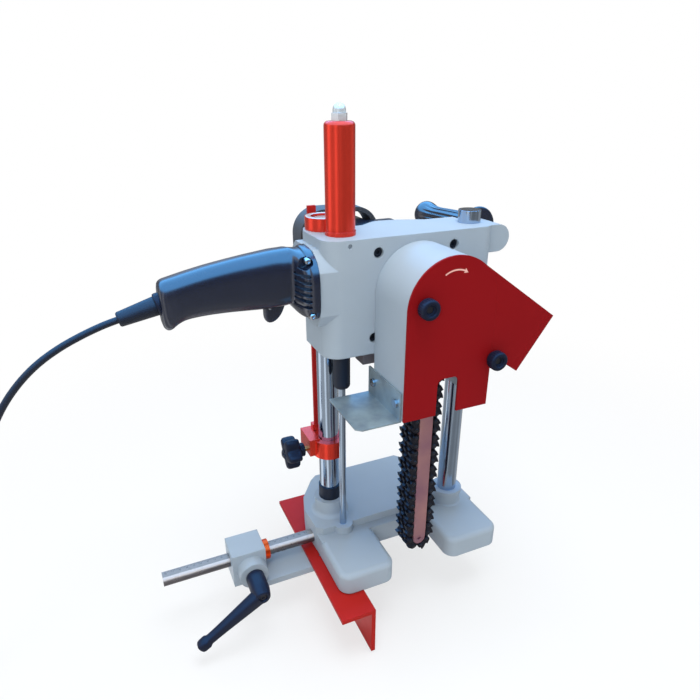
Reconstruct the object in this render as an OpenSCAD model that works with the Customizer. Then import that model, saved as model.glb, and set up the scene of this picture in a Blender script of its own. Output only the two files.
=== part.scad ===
// Chain mortiser: a cutting head that slides down two columns on a U-shaped base.
// Origin: on the sole of the base, midway between the columns. X runs to the right,
// Y away from the red cover, Z up. The head is drawn at the top of its stroke.

/* [Base] */
// Height of the two feet
foot_h = 33; // [26:1:40]
// Height of the raised plate between the columns
plate_h = 45; // [41:1:55]
// Y of the feet's front ends
foot_front = -137; // [-160:1:-125]
// Outer side of the left foot
foot_left = -132; // [-140:1:-128]
// Outer side of the right foot
foot_right = 134; // [128:1:150]
// Left side of the gap for the chain
gap_left = -48; // [-56:1:-40]
// Right side of the gap for the chain
gap_right = 44; // [36:1:52]
// Back wall of the gap for the chain
gap_back = -57; // [-66:1:-50]
// Radius of the upright corners of the feet
foot_corner = 17; // [12:1:24]
// Radius of the rounded top edges of the feet
foot_edge = 8; // [3:1:10]
// Y of the back of the raised plate
plate_back = 90; // [80:1:110]
// Wall left above and below the fence bar in the base
socket_wall = 6.5; // [6:0.5:7]
// Relief of the sole over the sliding fence
fence_relief = 0.8; // [0.5:0.1:1]

/* [Columns] */
// Distance between the column centres along X
column_gap = 190; // [186:1:200]
// Diameter of a column
column_d = 30; // [26:1:32]
// Right column's offset toward the front
right_forward = 40.5; // [38:0.5:44]
// Depth of a column in the base
column_seat = 24; // [16:1:26]
// How far the right column stands over the head
column_over = 16; // [10:1:20]
// Diameter of the rubber sleeve round the left column
sleeve_d = 33.5; // [32:0.5:36]
// Height of the rubber sleeve
sleeve_h = 22; // [14:1:28]
// Diameter of the thin rod
rod_d = 10; // [8:1:12]
// Rod's offset to the right of the left column
rod_right = 5; // [3:1:7]
// Rod's offset toward the front
rod_forward = 40.5; // [38:0.5:44]

/* [Head] */
// Underside of the housing at rest
head_z = 338; // [330:1:350]
// Height of the housing
head_h = 148; // [140:1:160]
// Y of the housing's front face
head_front = -77; // [-80:1:-74]
// Wall of the housing's boss round the left column
boss_wall = 12; // [10:0.5:14]
// Wall of the housing's boss round the right column
right_wall = 8; // [6:0.5:12]
// Radius of the housing's front left corner
head_corner = 22; // [12:1:24]
// Stroke of the head
stroke = 150; // [100:5:160]
// Height of the sprocket shaft over the housing's underside
shaft_up = 80; // [76:1:84]
// Radial clearance of everything that runs or slides
fit = 0.05; // [0.03:0.01:0.1]
// Outer diameter of the spring tube
tube_d = 36; // [34:0.5:38]
// Length of the spring tube
tube_len = 126; // [118:1:140]
// Wall of the spring tube
tube_wall = 2; // [1.5:0.25:3]
// Thickness of the web under the spring bore
bore_web = 14; // [10:1:20]

/* [Guard] */
// Depth of the chain guard in front of the housing
guard_depth = 80; // [76:1:90]
// Radius of the guard's round top
guard_r = 59.5; // [57:0.5:62]
// Wall of the guard casting
guard_wall = 5; // [3:0.5:7]
// Slope of the chip chute
chute_angle = 35; // [30:1:40]
// Drop of the guard's lower edge under the sprocket shaft
guard_drop = 139; // [130:1:145]
// Thickness of the red cover plate
cover_t = 3; // [2:0.5:4]
// Diameter of a cover knob
knob_d = 24.5; // [20:0.5:27]
// Length of a cover knob
knob_len = 15; // [12:1:20]

/* [Chain] */
// Distance between neighbouring rivets of the chain
pitch = 12.7; // [12.6:0.05:12.8]
// Number of links, an even number
links = 66; // [62:2:66]
// Teeth of the sprocket
sprocket_teeth = 7; // [7:1:7]
// Width of the guide bar across the chain's run
bar_w = 20; // [18:0.5:20.5]
// Width of the chain from front to back
chain_w = 33; // [27:0.5:34]
// Distance from the housing's front face to the back of the chain
chain_off = 8; // [7.5:0.5:12]
// Half the height of a link plate
link_h = 4.3; // [3.8:0.1:4.5]
// Height of a cutting tooth over the rivet line
tooth_h = 8.6; // [7:0.1:9.4]

/* [Handles] */
// Y of the trigger handle's middle plane
handle_y = -25; // [-28:1:-22]
// Height of the trigger handle's middle over the housing's underside
handle_up = 86; // [82:1:88]
// Radius of the trigger handle's round end
drum_r = 49.5; // [46:0.5:51]
// X of the joint between housing and trigger handle
drum_x = -132; // [-136:1:-130]
// Free length of the trigger handle
handle_len = 177; // [170:1:190]
// Thickness of the trigger
trigger_t = 13; // [10:1:16]
// Radius of the side handle's grip
grip_r = 15.5; // [14:0.5:17]
// Length of the side handle
grip_len = 152; // [120:2:160]
// Tilt of the side handle
grip_tilt = 2.4; // [0:0.2:4]

/* [Depth stop] */
// Outer diameter of the depth stop's ring
stop_d = 48; // [45:1:50]
// Height of the depth stop's ring
stop_h = 27; // [22:1:28]
// Underside of the depth stop at rest
stop_z = 152; // [130:1:152]
// Width of the scale bar
scale_w = 11; // [9:0.5:12]
// Thickness of the scale bar
scale_t = 5; // [4:0.5:6]
// Diameter of the star knob
star_d = 50; // [40:1:54]

/* [Fence] */
// Diameter of the fence bar
bar_d = 20; // [18:0.5:21]
// Depth of the flat along the bar's top, which bears the scale
bar_flat = 1.8; // [1:0.1:3]
// Y of the fence bar's axis
bar_y = -17.5; // [-20:0.5:-15]
// Free end of the fence bar
bar_end = -360; // [-400:5:-340]
// X of the fence's guiding face
fence_x = -99; // [-104:1:-96]
// Width of the fence's upper flange
fence_w = 50; // [40:1:54]
// Depth of the fence's hanging flange
fence_h = 79; // [60:1:90]
// Thickness of the fence
fence_t = 6; // [4:0.5:8]
// Length of the fence
fence_len = 280; // [240:5:320]
// Y of the fence's front end
fence_front = -175; // [-190:1:-160]
// Width of the clamp block on the bar
clamp_w = 50; // [40:1:54]
// X of the clamp block's middle
clamp_x = -239; // [-245:1:-236]
// Reach of the clamp lever
lever_len = 104; // [80:1:110]
// Slope of the clamp lever under the horizontal
lever_slope = 33.7; // [20:0.1:50]

/* [Cord] */
// Diameter of the power cord
cord_d = 8; // [8:1:8]
// Radius of the coil's inner turn
coil_r = 35; // [35:1:38]
// Turns in each of the coil's two layers
coil_turns = 3; // [3:1:3]

/* [Hidden] */

$fn = 48;
soft = 0.3;
column_r = column_d / 2;
left_x = -column_gap / 2;
right_x = column_gap / 2;
right_y = -right_forward;
rod_r = rod_d / 2;
rod_x = left_x + rod_right;
rod_y = -rod_forward;
head_top = head_z + head_h;
boss_r = column_r + boss_wall;
right_boss_r = column_r + right_wall;
tube_r = tube_d / 2;
tube_bore = tube_r - tube_wall;
tube_top = head_top + tube_len;
cap_z = head_z + bore_web + 9;
cap_h = 6;
sprocket_z = head_z + shaft_up;
handle_z = head_z + handle_up;
shaft_r = 8;

red = [0.80, 0.22, 0.14];
deep_red = [0.54, 0.08, 0.09];
casting = [0.68, 0.71, 0.76];
black = [0.09, 0.10, 0.13];
chrome = [0.80, 0.82, 0.85];
steel = [0.62, 0.62, 0.64];

// A disc of an upright round bar
module upright(x, y, r, z0, z1) {
    translate([x, y, z0]) cylinder(r = r, h = z1 - z0);
}
// A round bar along Y
module along_y(x, z, r, y0, y1) {
    translate([x, y1, z]) rotate([90, 0, 0]) cylinder(r = r, h = y1 - y0);
}
// A round bar along X
module along_x(y, z, r, x0, x1) {
    translate([x0, y, z]) rotate([0, 90, 0]) cylinder(r = r, h = x1 - x0);
}
// A box from its two far corners
module box(a, b) {
    translate(a) cube([b[0] - a[0], b[1] - a[1], b[2] - a[2]]);
}
// An outline in X and Z, extruded from y0 to y1
module slab(y0, y1) {
    translate([0, y1, 0]) rotate([90, 0, 0]) linear_extrude(y1 - y0) children();
}
// A flat rectangle with round corners
module round_rect(a, b, r) {
    translate([a[0] + r, a[1]]) square([b[0] - a[0] - 2 * r, b[1] - a[1]]);
    translate([a[0], a[1] + r]) square([b[0] - a[0], b[1] - a[1] - 2 * r]);
    for (x = [a[0] + r, b[0] - r], y = [a[1] + r, b[1] - r]) translate([x, y]) circle(r = r);
}
// A block with round upright corners and rounded top edges
module soft_block(a, b, h, corner, edge) {
    low = h - edge;
    linear_extrude(low) round_rect(a, b, corner);
    box([a[0] + corner, a[1] + edge, low], [b[0] - corner, b[1] - edge, h]);
    box([a[0] + edge, a[1] + corner, low], [b[0] - edge, b[1] - corner, h]);
    for (y = [a[1] + edge, b[1] - edge]) along_x(y, low, edge, a[0] + corner, b[0] - corner);
    for (x = [a[0] + edge, b[0] - edge]) along_y(x, low, edge, a[1] + corner, b[1] - corner);
    for (x = [a[0] + corner, b[0] - corner], y = [a[1] + corner, b[1] - corner])
        translate([x, y, low]) rotate_extrude() {
            square([corner - edge, edge]);
            translate([corner - edge, 0]) intersection() {
                circle(r = edge);
                square(edge);
            }
        }
}

// Base
step_y = -43.5;
boss_top_r = column_r + 9;
boss_top_z = plate_h + 27;
boss_fillet = 9;
socket_fillet = 5;
fillet_bite = 0.4;
socket_r = 24;
socket_z = foot_h + 26;
bar_r = bar_d / 2;
bar_z = socket_wall + bar_r;
bar_in = 52;
wall = 8;
plate_right = 75;

module plate_outline() {
    polygon([
        [foot_left + 8, step_y], [foot_left - 0.5, step_y + 9], [foot_left - 2, 10], [-125, 42],
        [-98, 80], [-86, plate_back], [plate_right - 8, plate_back], [plate_right, plate_back - 10],
        [plate_right, step_y]
    ]);
}
module deck_outline() {
    polygon([
        [foot_left, gap_back], [foot_right, gap_back], [foot_right, -24], [112, 8],
        [plate_right, 30], [foot_left, 8]
    ]);
}
module base() {
    color(casting) difference() {
        union() {
            soft_block([foot_left, foot_front], [gap_left, gap_back + 60], foot_h, foot_corner, foot_edge);
            soft_block([gap_right, foot_front + 3], [foot_right, gap_back + 70],
                foot_h, foot_corner, foot_edge);
            linear_extrude(foot_h) deck_outline();
            linear_extrude(plate_h) plate_outline();
            upright(rod_x, rod_y, 15, 0, plate_h);
            upright(left_x, 0, boss_top_r, 0, boss_top_z);
            foot_fillet(left_x, 0, plate_h, boss_top_r, boss_fillet);
            upright(right_x, right_y, socket_r - 2, 0, socket_z);
            upright(right_x, right_y, socket_r, socket_z - 7, socket_z);
            foot_fillet(right_x, right_y, foot_h, socket_r - 2, socket_fillet);
        }
        upright(left_x, 0, column_r, boss_top_z - column_seat - 20, boss_top_z + 1);
        upright(right_x, right_y, column_r, socket_z - column_seat - 10, socket_z + 1);
        upright(rod_x, rod_y, rod_r, plate_h - 25, plate_h + 1);
        flat_bar(foot_left - 10, foot_left + bar_in);
        box([foot_left - 10, foot_front - 1, -1], [fence_x + soft, plate_back + 1, fence_relief]);
        for (x = [-70, 14]) box([x, 32, -1], [x + 52, plate_back - wall, plate_h - wall]);
        box([foot_left + wall, foot_front + wall, -1], [gap_left - wall, gap_back - 9, foot_h - wall]);
        box([gap_right + wall, foot_front + wall + 3, -1], [foot_right - wall, gap_back - 9, foot_h - wall]);
    }
}
// The hollow fillet round the foot of an upright boss
module foot_fillet(x, y, z, r, fillet) {
    translate([x, y, z]) rotate_extrude() difference() {
        translate([r - 1, -1]) square([fillet + 1, fillet + 1]);
        translate([r + fillet - fillet_bite, fillet - fillet_bite]) circle(r = fillet);
    }
}
// The round fence bar with its flat top
module flat_bar(x0, x1) {
    difference() {
        along_x(bar_y, bar_z, bar_r, x0, x1);
        box([x0 - 1, bar_y - bar_r, bar_z + bar_r - bar_flat], [x1 + 1, bar_y + bar_r, bar_z + bar_r + 1]);
    }
}
module column_left() {
    color(chrome) upright(left_x, 0, column_r, boss_top_z - column_seat - 20, head_top + 13);
}
module column_right() {
    color(chrome) upright(right_x, right_y, column_r, socket_z - column_seat - 10, head_top + column_over);
}
module column_sleeve() {
    color(black) difference() {
        upright(left_x, 0, sleeve_d / 2, boss_top_z, boss_top_z + sleeve_h);
        upright(left_x, 0, column_r, boss_top_z - 1, boss_top_z + sleeve_h + 1);
    }
}
module spring_rod() {
    color(chrome) upright(rod_x, rod_y, rod_r, plate_h - 25, cap_z);
}
module rod_cap() {
    color(steel) upright(rod_x, rod_y, tube_bore - 2, cap_z, cap_z + cap_h);
}
module fence_bar() {
    color(chrome) flat_bar(bar_end, foot_left + bar_in);
}
// The wound return spring stands inside the tube, drawn as its outer sleeve
module return_spring() {
    color(steel) difference() {
        upright(rod_x, rod_y, tube_bore - 2, cap_z + cap_h, tube_top - 6);
        upright(rod_x, rod_y, tube_bore - 5, cap_z + cap_h - 1, tube_top);
    }
}

// Head
gear_r = 33.4;
pinion_r = 6.4;
motor_x = -28;
head_left = -124;
motor_z = sprocket_z + 28.6;
motor_r = 33;
rear_y = 14;
lug_y = boss_r + 1 + scale_t / 2;
scale_x = left_x - 5.5;
lobe_z = head_top - 21;
lobe_h = 18;
lobe_x = 130;
lobe_y0 = -60;
lobe_y1 = -13.5;

module head_outline() {
    translate([head_left + head_corner, head_front])
        square([right_x - head_left - head_corner, -head_front - 2]);
    translate([head_left, head_front + head_corner]) square([50, -head_front - head_corner]);
    translate([head_left + head_corner, head_front + head_corner]) circle(r = head_corner);
    translate([left_x, 0]) circle(r = boss_r);
    translate([right_x, head_front + 18]) circle(r = 18);
    translate([right_x, right_y]) circle(r = right_boss_r);
    translate([left_x + 30, -20]) polygon([
        [0, 0], [35, 28], [44, 34], [57, 36], [82, 32], [160, -1], [160, -40], [0, -40]
    ]);
}
module housing_shell() {
    linear_extrude(head_h) head_outline();
}
screw_places = [[-56, head_top - 18], [50, head_top - 18], [-guard_r - 0.5, head_z + 22]];
screw_r = 5.6;
module screw_holes() {
    for (p = screw_places) along_y(p[0], p[1], screw_r + 1, head_front - 1, head_front + 9);
}
// Outline across the neck and the collar that meet between housing and trigger handle
module neck_outline(in) {
    intersection() {
        circle(r = drum_r + 10.5 - in);
        translate([-drum_r - 4 + in, -drum_r + 4.5 + in])
            square([2 * (drum_r + 4 - in), 2 * drum_r - 2.5 - 2 * in]);
    }
}
// A stretch of that outline from x0 to x1
module neck(x0, x1, in) {
    translate([x0, handle_y, handle_z]) rotate([90, 0, 90]) linear_extrude(x1 - x0) neck_outline(in);
}
module housing() {
    color(casting) difference() {
        union() {
            translate([0, 0, head_z]) housing_shell();
            neck(drum_x, drum_x + 30, 2);
            slab(lobe_y0, lobe_y1) {
                translate([lobe_x, lobe_z]) circle(r = lobe_h);
                translate([right_x, lobe_z - lobe_h]) square([lobe_x - right_x, 2 * lobe_h]);
            }
        }
        upright(left_x, 0, column_r + fit, head_z - 1, head_top + 1);
        upright(right_x, right_y, column_r + fit, head_z - 1, head_top + 1);
        upright(rod_x, rod_y, rod_r + fit, head_z - 1, head_top);
        upright(rod_x, rod_y, tube_bore, head_z + bore_web, head_top + 1);
        along_y(0, sprocket_z, gear_r + 3, -67, -45);
        along_y(0, sprocket_z, shaft_r + fit, head_front - 1, -66);
        along_y(0, sprocket_z, shaft_r + fit, -46, -34);
        along_y(motor_x, motor_z, 6.5 + fit, -47, -36);
        along_y(motor_x, motor_z, pinion_r + 2, -67, -45);
        along_y(motor_x, motor_z, motor_r, -37, rear_y + 20);
        screw_holes();
        along_y(rod_x - 3, head_top - 7, 2.5, head_front - 1, head_front + 3);
        rotate_bevel();
    }
}
// Bevel that leads from the housing's left front corner to the round neck
module rotate_bevel() {
    translate([head_left, head_front, head_top]) rotate([0, -40, 20])
        translate([-30, -30, -4]) cube([34, 70, 20]);
}
module column_ring() {
    color(red) difference() {
        upright(left_x, 0, 24.5, head_top, head_top + 16);
        upright(left_x, 0, column_r + 1.5, head_top - 1, head_top + 17);
        upright(rod_x, rod_y, tube_r + tube_foot + soft, head_top - 1, head_top + 17);
    }
}
// Strap that guides the scale bar along the housing
guide_t = 4;
guide_h = 38;
guide_z = head_z;
module bar_guide() {
    near = scale_w / 2 + soft;
    back = lug_y + scale_t / 2 + soft;
    color(casting) difference() {
        union() {
            for (side = [-near - guide_t, near])
                box([scale_x + side, 12, guide_z], [scale_x + side + guide_t, back, guide_z + guide_h]);
            box([scale_x - near - guide_t, back, guide_z],
                [scale_x + near + guide_t, back + guide_t - 1, guide_z + guide_h]);
        }
        upright(left_x, 0, boss_r, guide_z - 1, guide_z + guide_h + 1);
    }
}
tube_foot = 0.8;
module spring_tube() {
    dome = 5;
    color(red) translate([rod_x, rod_y, 0]) difference() {
        union() {
            translate([0, 0, head_top]) cylinder(r = tube_r + tube_foot, h = 5);
            translate([0, 0, head_top + 5]) cylinder(r = tube_r - 0.5, h = 1.6);
            translate([0, 0, head_top + 6.6]) cylinder(r = tube_r, h = tube_len - 6.6 - dome);
            translate([0, 0, tube_top - dome]) rotate_extrude() {
                square([tube_r - dome, dome]);
                translate([tube_r - dome, 0]) intersection() {
                    circle(r = dome);
                    square(dome);
                }
            }
        }
        translate([0, 0, head_top - 1]) cylinder(r = tube_bore, h = tube_len + 1 - 5);
    }
}
module tube_nut() {
    color(chrome) translate([rod_x, rod_y, tube_top]) {
        cylinder(r = 9.8, h = 8, $fn = 6);
        translate([0, 0, 8]) cylinder(r = 7.5, h = 3);
        translate([0, 0, 11]) intersection() {
            sphere(r = 7.5);
            cylinder(r = 9, h = 9);
        }
    }
}
bumper_r = 11.5;
bumper_len = 60;
module bumper() {
    color(black) translate([rod_x, rod_y, head_z - bumper_len]) difference() {
        union() {
            translate([0, 0, 6]) cylinder(r = bumper_r, h = bumper_len - 6);
            rotate_extrude() {
                square([bumper_r - 6, 6.5]);
                translate([bumper_r - 6, 6]) intersection() {
                    circle(r = 6);
                    translate([0, -6]) square(6);
                }
            }
        }
        translate([0, 0, -1]) cylinder(r = rod_r + soft, h = bumper_len + 2);
    }
}
module housing_screws() {
    color(black) for (p = screw_places)
        difference() {
            along_y(p[0], p[1], screw_r, head_front + 3.5, head_front + 9);
            translate([p[0], head_front + 6, p[1]]) rotate([90, 0, 0]) cylinder(r = 2.9, h = 3, $fn = 6);
        }
}

// Guard and cover
guard_front = head_front - guard_depth;
guard_low = sprocket_z - guard_drop;
chute_w = 82;
chute_reach = 142;
tip = [cos(90 - chute_angle), sin(90 - chute_angle)];
run = [cos(chute_angle), -sin(chute_angle)];
tangent_in = 0.3;
chute_top = (guard_r - tangent_in) * tip;
chute_end = chute_top + chute_reach * run;
chute_low = chute_end - chute_w * tip;
side_x = guard_r;
chute_in = (chute_low[0] - side_x) / run[0];
chute_join = [side_x, chute_low[1] - chute_in * run[1]];
knobs = [[-39, sprocket_z + 6], [63, sprocket_z - 75]];

// The guard's outline round the sprocket shaft, drawn in by a wall
module guard_outline(in, past) {
    translate([0, sprocket_z]) {
        circle(r = guard_r - in, $fn = 96);
        translate([-guard_r + in, -guard_drop - past]) square([2 * (guard_r - in), guard_drop + past]);
        polygon([
            chute_top - in * tip, chute_end - in * tip + past * run, chute_low + in * tip + past * run,
            [0, chute_join[1] + side_x * tan(chute_angle) + in / cos(chute_angle)], [0, 0]
        ]);
    }
}
module guard() {
    color(casting) difference() {
        union() {
            difference() {
                slab(guard_front, head_front) guard_outline(0, 0);
                slab(guard_front - 1, head_front + 1) guard_outline(guard_wall, 1);
            }
            box([-guard_r + 1, head_front - 5, guard_low + 26], [guard_r - 1, head_front, head_z]);
            for (p = knobs) along_y(p[0], p[1], 7.5, guard_front, p[0] < 0 ? head_front : guard_front + 40);
        }
        for (p = knobs) along_y(p[0], p[1], 4, guard_front - 1, guard_front + 20);
    }
}
notch_w = 30;
notch_h = 49;
module cover() {
    color(deep_red) difference() {
        slab(guard_front - cover_t, guard_front) guard_outline(-0.6, 0);
        slab(guard_front - cover_t - 1, guard_front + 1) {
            translate([-notch_w / 2, guard_low - 5]) square([notch_w, notch_h - 3]);
            translate([-notch_w / 2 + 8, guard_low - 5]) square([notch_w - 16, notch_h + 5]);
            for (x = [-notch_w / 2 + 8, notch_w / 2 - 8])
                translate([x, guard_low + notch_h - 8]) circle(r = 8);
        }
        for (p = knobs) along_y(p[0], p[1], 4.3, guard_front - cover_t - 1, guard_front + 1);
    }
}
knob_recess = 3;
stud_out = knob_len - knob_recess - 1;
module cover_studs() {
    color(steel) for (p = knobs) along_y(p[0], p[1], 4, guard_front - cover_t - stud_out, guard_front + 20);
}
module cover_knob(p) {
    front = guard_front - cover_t - soft;
    color(black) difference() {
        union() {
            slab(front - knob_len, front - 3) translate([p[0], p[1]]) {
                circle(r = knob_d / 2 - 1.2);
                for (i = [0:11]) rotate(i * 30) translate([knob_d / 2 - 2, 0]) circle(r = 2, $fn = 16);
            }
            along_y(p[0], p[1], knob_d / 2 - 3, front - 3, front);
        }
        along_y(p[0], p[1], 4 + fit, front - knob_len - 1, front + 1);
        along_y(p[0], p[1], 6.5, front - knob_len - 1, front - knob_len + knob_recess);
    }
}
module knob_upper() {
    cover_knob(knobs[0]);
}
module knob_lower() {
    cover_knob(knobs[1]);
}
shelf_x = -119;
shelf_t = 2.5;
shelf_back = -66;
shelf_front = -154;
shelf_hook = 37;
module shelf() {
    color(steel) difference() {
        union() {
            translate([0, 0, guard_low - shelf_t]) linear_extrude(shelf_t) polygon([
                [shelf_x, shelf_back], [-guard_r, shelf_back], [-guard_r, shelf_front],
                [shelf_x + 7, shelf_front], [shelf_x, shelf_front + 6]
            ]);
            box([-guard_r - shelf_t, shelf_front, guard_low - shelf_t],
                [-guard_r, shelf_back, guard_low + shelf_hook]);
        }
        for (y = [-82, -144]) along_x(y, guard_low + 20, 3.2, -guard_r - 10, -guard_r + 1);
    }
}
module shelf_screws() {
    color(chrome) for (y = [-82, -144]) {
        along_x(y, guard_low + 20, 3.1, -guard_r - shelf_t, -guard_r);
        along_x(y, guard_low + 20, 5.5, -guard_r - shelf_t - 3.5, -guard_r - shelf_t);
    }
}

// Chain and drive
half_turn = sprocket_teeth / 2;
run_links = (links - sprocket_teeth) / 2;
pitch_r = pitch / (2 * sin(180 / sprocket_teeth));
nose_z = sprocket_z - run_links * pitch;
chain_back = head_front - chain_off;
chain_front = chain_back - chain_w;
bar_gap = 0.6;
nose_r = bar_w / 2 - 0.5;

// Place of rivet s on the loop, clockwise from the sprocket's right side
function rivet(s) =
    s < run_links ? [pitch_r, sprocket_z - s * pitch] :
    s < run_links + half_turn ? nose_z_turn((s - run_links) * 180 / half_turn) :
    s < 2 * run_links + half_turn ? [-pitch_r, nose_z + (s - run_links - half_turn) * pitch] :
    top_turn((s - 2 * run_links - half_turn) * 180 / half_turn);
function nose_z_turn(a) = [pitch_r * cos(a), nose_z - pitch_r * sin(a)];
function top_turn(a) = [-pitch_r * cos(a), sprocket_z + pitch_r * sin(a)];

// One link plate with its hooked tooth, lying from rivet s to the next
module link_plate(s, tall) {
    a = rivet(s);
    b = rivet((s + 1) % links);
    d = b - a;
    translate([(a[0] + b[0]) / 2, (a[1] + b[1]) / 2]) rotate(atan2(d[1], d[0])) polygon([
        [-pitch / 2 - 3, -link_h], [-scoop, -link_h], [-2, -link_h + 1.6], [2, -link_h + 1.6],
        [scoop, -link_h], [pitch / 2 + 3, -link_h], [pitch / 2 + link_h, -link_h + 2.5],
        [pitch / 2 + link_h, link_h - 2.5], [pitch / 2 + 2.4, link_h], [pitch / 2 + 3.6, tall],
        [pitch / 2 - 1, tall - 0.8], [-1, link_h + 0.4], [-2.5, tall - 0.4],
        [-pitch / 2 - 3, link_h], [-pitch / 2 - link_h, link_h - 2.5], [-pitch / 2 - link_h, -link_h + 2.5]
    ]);
}
plates = 5;
plate_t = chain_w / plates;
module mortise_chain() {
    color(black) {
        for (i = [0:plates - 1])
            slab(chain_front + i * plate_t, chain_front + (i + 1) * plate_t)
                for (s = [i % 2:2:links - 1]) link_plate(s, i % 2 == 0 ? tooth_h : tooth_h - 1.6);
    }
}
bar_top = sprocket_z - 30;
bolt_z = [bar_top - 10, bar_top - 36];
module guide_bar() {
    color(steel) difference() {
        slab(chain_front + bar_gap, chain_back) {
            translate([0, nose_z]) circle(r = nose_r);
            polygon([
                [-nose_r, nose_z], [nose_r, nose_z], [bar_w / 2, nose_z + 12], [bar_w / 2, bar_top],
                [-bar_w / 2, bar_top], [-bar_w / 2, nose_z + 12]
            ]);
        }
        for (z = bolt_z) along_y(0, z, 3.5, chain_front - 1, chain_back + 1);
        along_y(0, nose_z, 3, chain_front - 1, chain_front + 4);
    }
}
module bar_holder() {
    color(casting) difference() {
        box([-20, chain_back, bar_top - 46], [20, head_front, bar_top]);
        for (z = bolt_z) along_y(0, z, 3.5, chain_back - 1, head_front + 1);
    }
}
module bar_bolts() {
    color(steel) for (z = bolt_z) {
        along_y(0, z, 3.5, chain_front + bar_gap, head_front);
        along_y(0, z, 6.5, chain_front + bar_gap - 6, chain_front + bar_gap);
    }
}
module tension_block() {
    color([0.45, 0.42, 0.42]) box([-guard_r - 10, -64, head_z - 20], [-guard_r + 14, -40, head_z]);
}
module drive_shaft() {
    color(steel) {
        along_y(0, sprocket_z, shaft_r, chain_back, -34.5);
        along_y(0, sprocket_z, spigot_r, chain_front + 2, chain_back);
    }
}
// The sprocket's rim stays inside the scooped inner edges of the links
scoop = 4.5;
scoop_r = pitch_r * cos(180 / sprocket_teeth) - link_h;
sprocket_rim = sqrt(scoop_r * scoop_r + scoop * scoop) - 0.35;
spigot_r = 6;
module sprocket() {
    color(steel) difference() {
        slab(chain_front + 3, chain_back - 1) translate([0, sprocket_z]) difference() {
            circle(r = sprocket_rim);
            for (i = [0:sprocket_teeth - 1]) rotate(i * 360 / sprocket_teeth)
                translate([sprocket_rim + 0.6, 0]) circle(r = 1.6, $fn = 24);
        }
        along_y(0, sprocket_z, spigot_r, chain_front + 2, chain_back);
    }
}
module toothed(r, teeth, depth) {
    difference() {
        circle(r = r);
        for (i = [0:teeth - 1]) rotate((i + 0.5) * 360 / teeth)
            translate([r - depth, -0.16 * PI * r / teeth]) square([depth + 1, 1.0 * PI * r / teeth]);
    }
}
module drive_gear() {
    color(steel) difference() {
        slab(-65, -49) translate([0, sprocket_z]) toothed(gear_r, 45, 2.2);
        along_y(0, sprocket_z, shaft_r, -66, -48);
    }
}
module motor_shaft() {
    color(steel) {
        slab(-65, -48) translate([motor_x, motor_z]) toothed(pinion_r, 9, 1.4);
        along_y(motor_x, motor_z, 5, -48.5, 72);
    }
}
module armature() {
    color([0.55, 0.35, 0.2]) difference() {
        union() {
            along_y(motor_x, motor_z, 24, -30, 30);
            along_y(motor_x, motor_z, 13, 30, 46);
        }
        along_y(motor_x, motor_z, 5, -31, 47);
    }
}
module motor_fan() {
    color(black) difference() {
        union() {
            along_y(motor_x, motor_z, 9, 48, 62);
            slab(50, 62) translate([motor_x, motor_z]) for (i = [0:8]) rotate(i * 40)
                translate([7, -1]) square([22, 2]);
            along_y(motor_x, motor_z, 29, 48, 50);
        }
        along_y(motor_x, motor_z, 5, 47, 63);
    }
}
casing_end = 78;
casing_r = 38;
casing_l = -106;
casing_right = 34;
casing_top = motor_z + casing_r - 0.6;
hump_end = 36;
module rear_casing() {
    color(black) difference() {
        union() {
            slab(-10, casing_end) {
                translate([motor_x, motor_z]) circle(r = casing_r);
                round_rect([casing_l, motor_z - 50], [casing_right, motor_z + 8], 12);
            }
            slab(-10, hump_end) round_rect([-70, motor_z - 50], [casing_right - 4, casing_top], 16);
        }
        translate([0, 0, head_z - 1]) linear_extrude(head_h + 2) head_outline();
        along_y(motor_x, motor_z, motor_r, -11, casing_end - 10);
        along_y(motor_x, motor_z, 5 + fit, casing_end - 12, casing_end - 4);
        box([-130, rear_y - 20, motor_z - 60], [left_x + boss_r + 6, 42, motor_z + 60]);
    }
}
loop_t = 6;
loop_l = casing_l - loop_t;
loop_r = 2;
loop_top = head_top + 15.5;
loop_bend = 34;
loop_y0 = 42;
loop_y1 = 76;
module loop_outline(in) {
    translate([0, -in]) round_rect([loop_l + in, motor_z - 90], [loop_r - in, loop_top], loop_bend - in);
}
module rear_loop() {
    color(black) difference() {
        slab(loop_y0, loop_y1) difference() {
            loop_outline(0);
            loop_outline(loop_t);
        }
        box([loop_l - 1, loop_y0 - 1, motor_z - 100], [loop_r + 1, loop_y1 + 1, motor_z - 49]);
        slab(loop_y0 - 1, loop_y1 + 1) {
            translate([motor_x, motor_z]) circle(r = casing_r);
            round_rect([casing_l, motor_z - 60], [casing_right, motor_z + 8], 12);
        }
    }
}

// Trigger handle
grip_w = 22;
handle_end = drum_x - handle_len;
vents = 6;
vent_step = 7.6;
screw_deep = handle_y - 43;
handle_screw_z = [handle_z + 37, handle_z - 29];
pin_x = -181;
pin_z = handle_z - 24;
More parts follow.
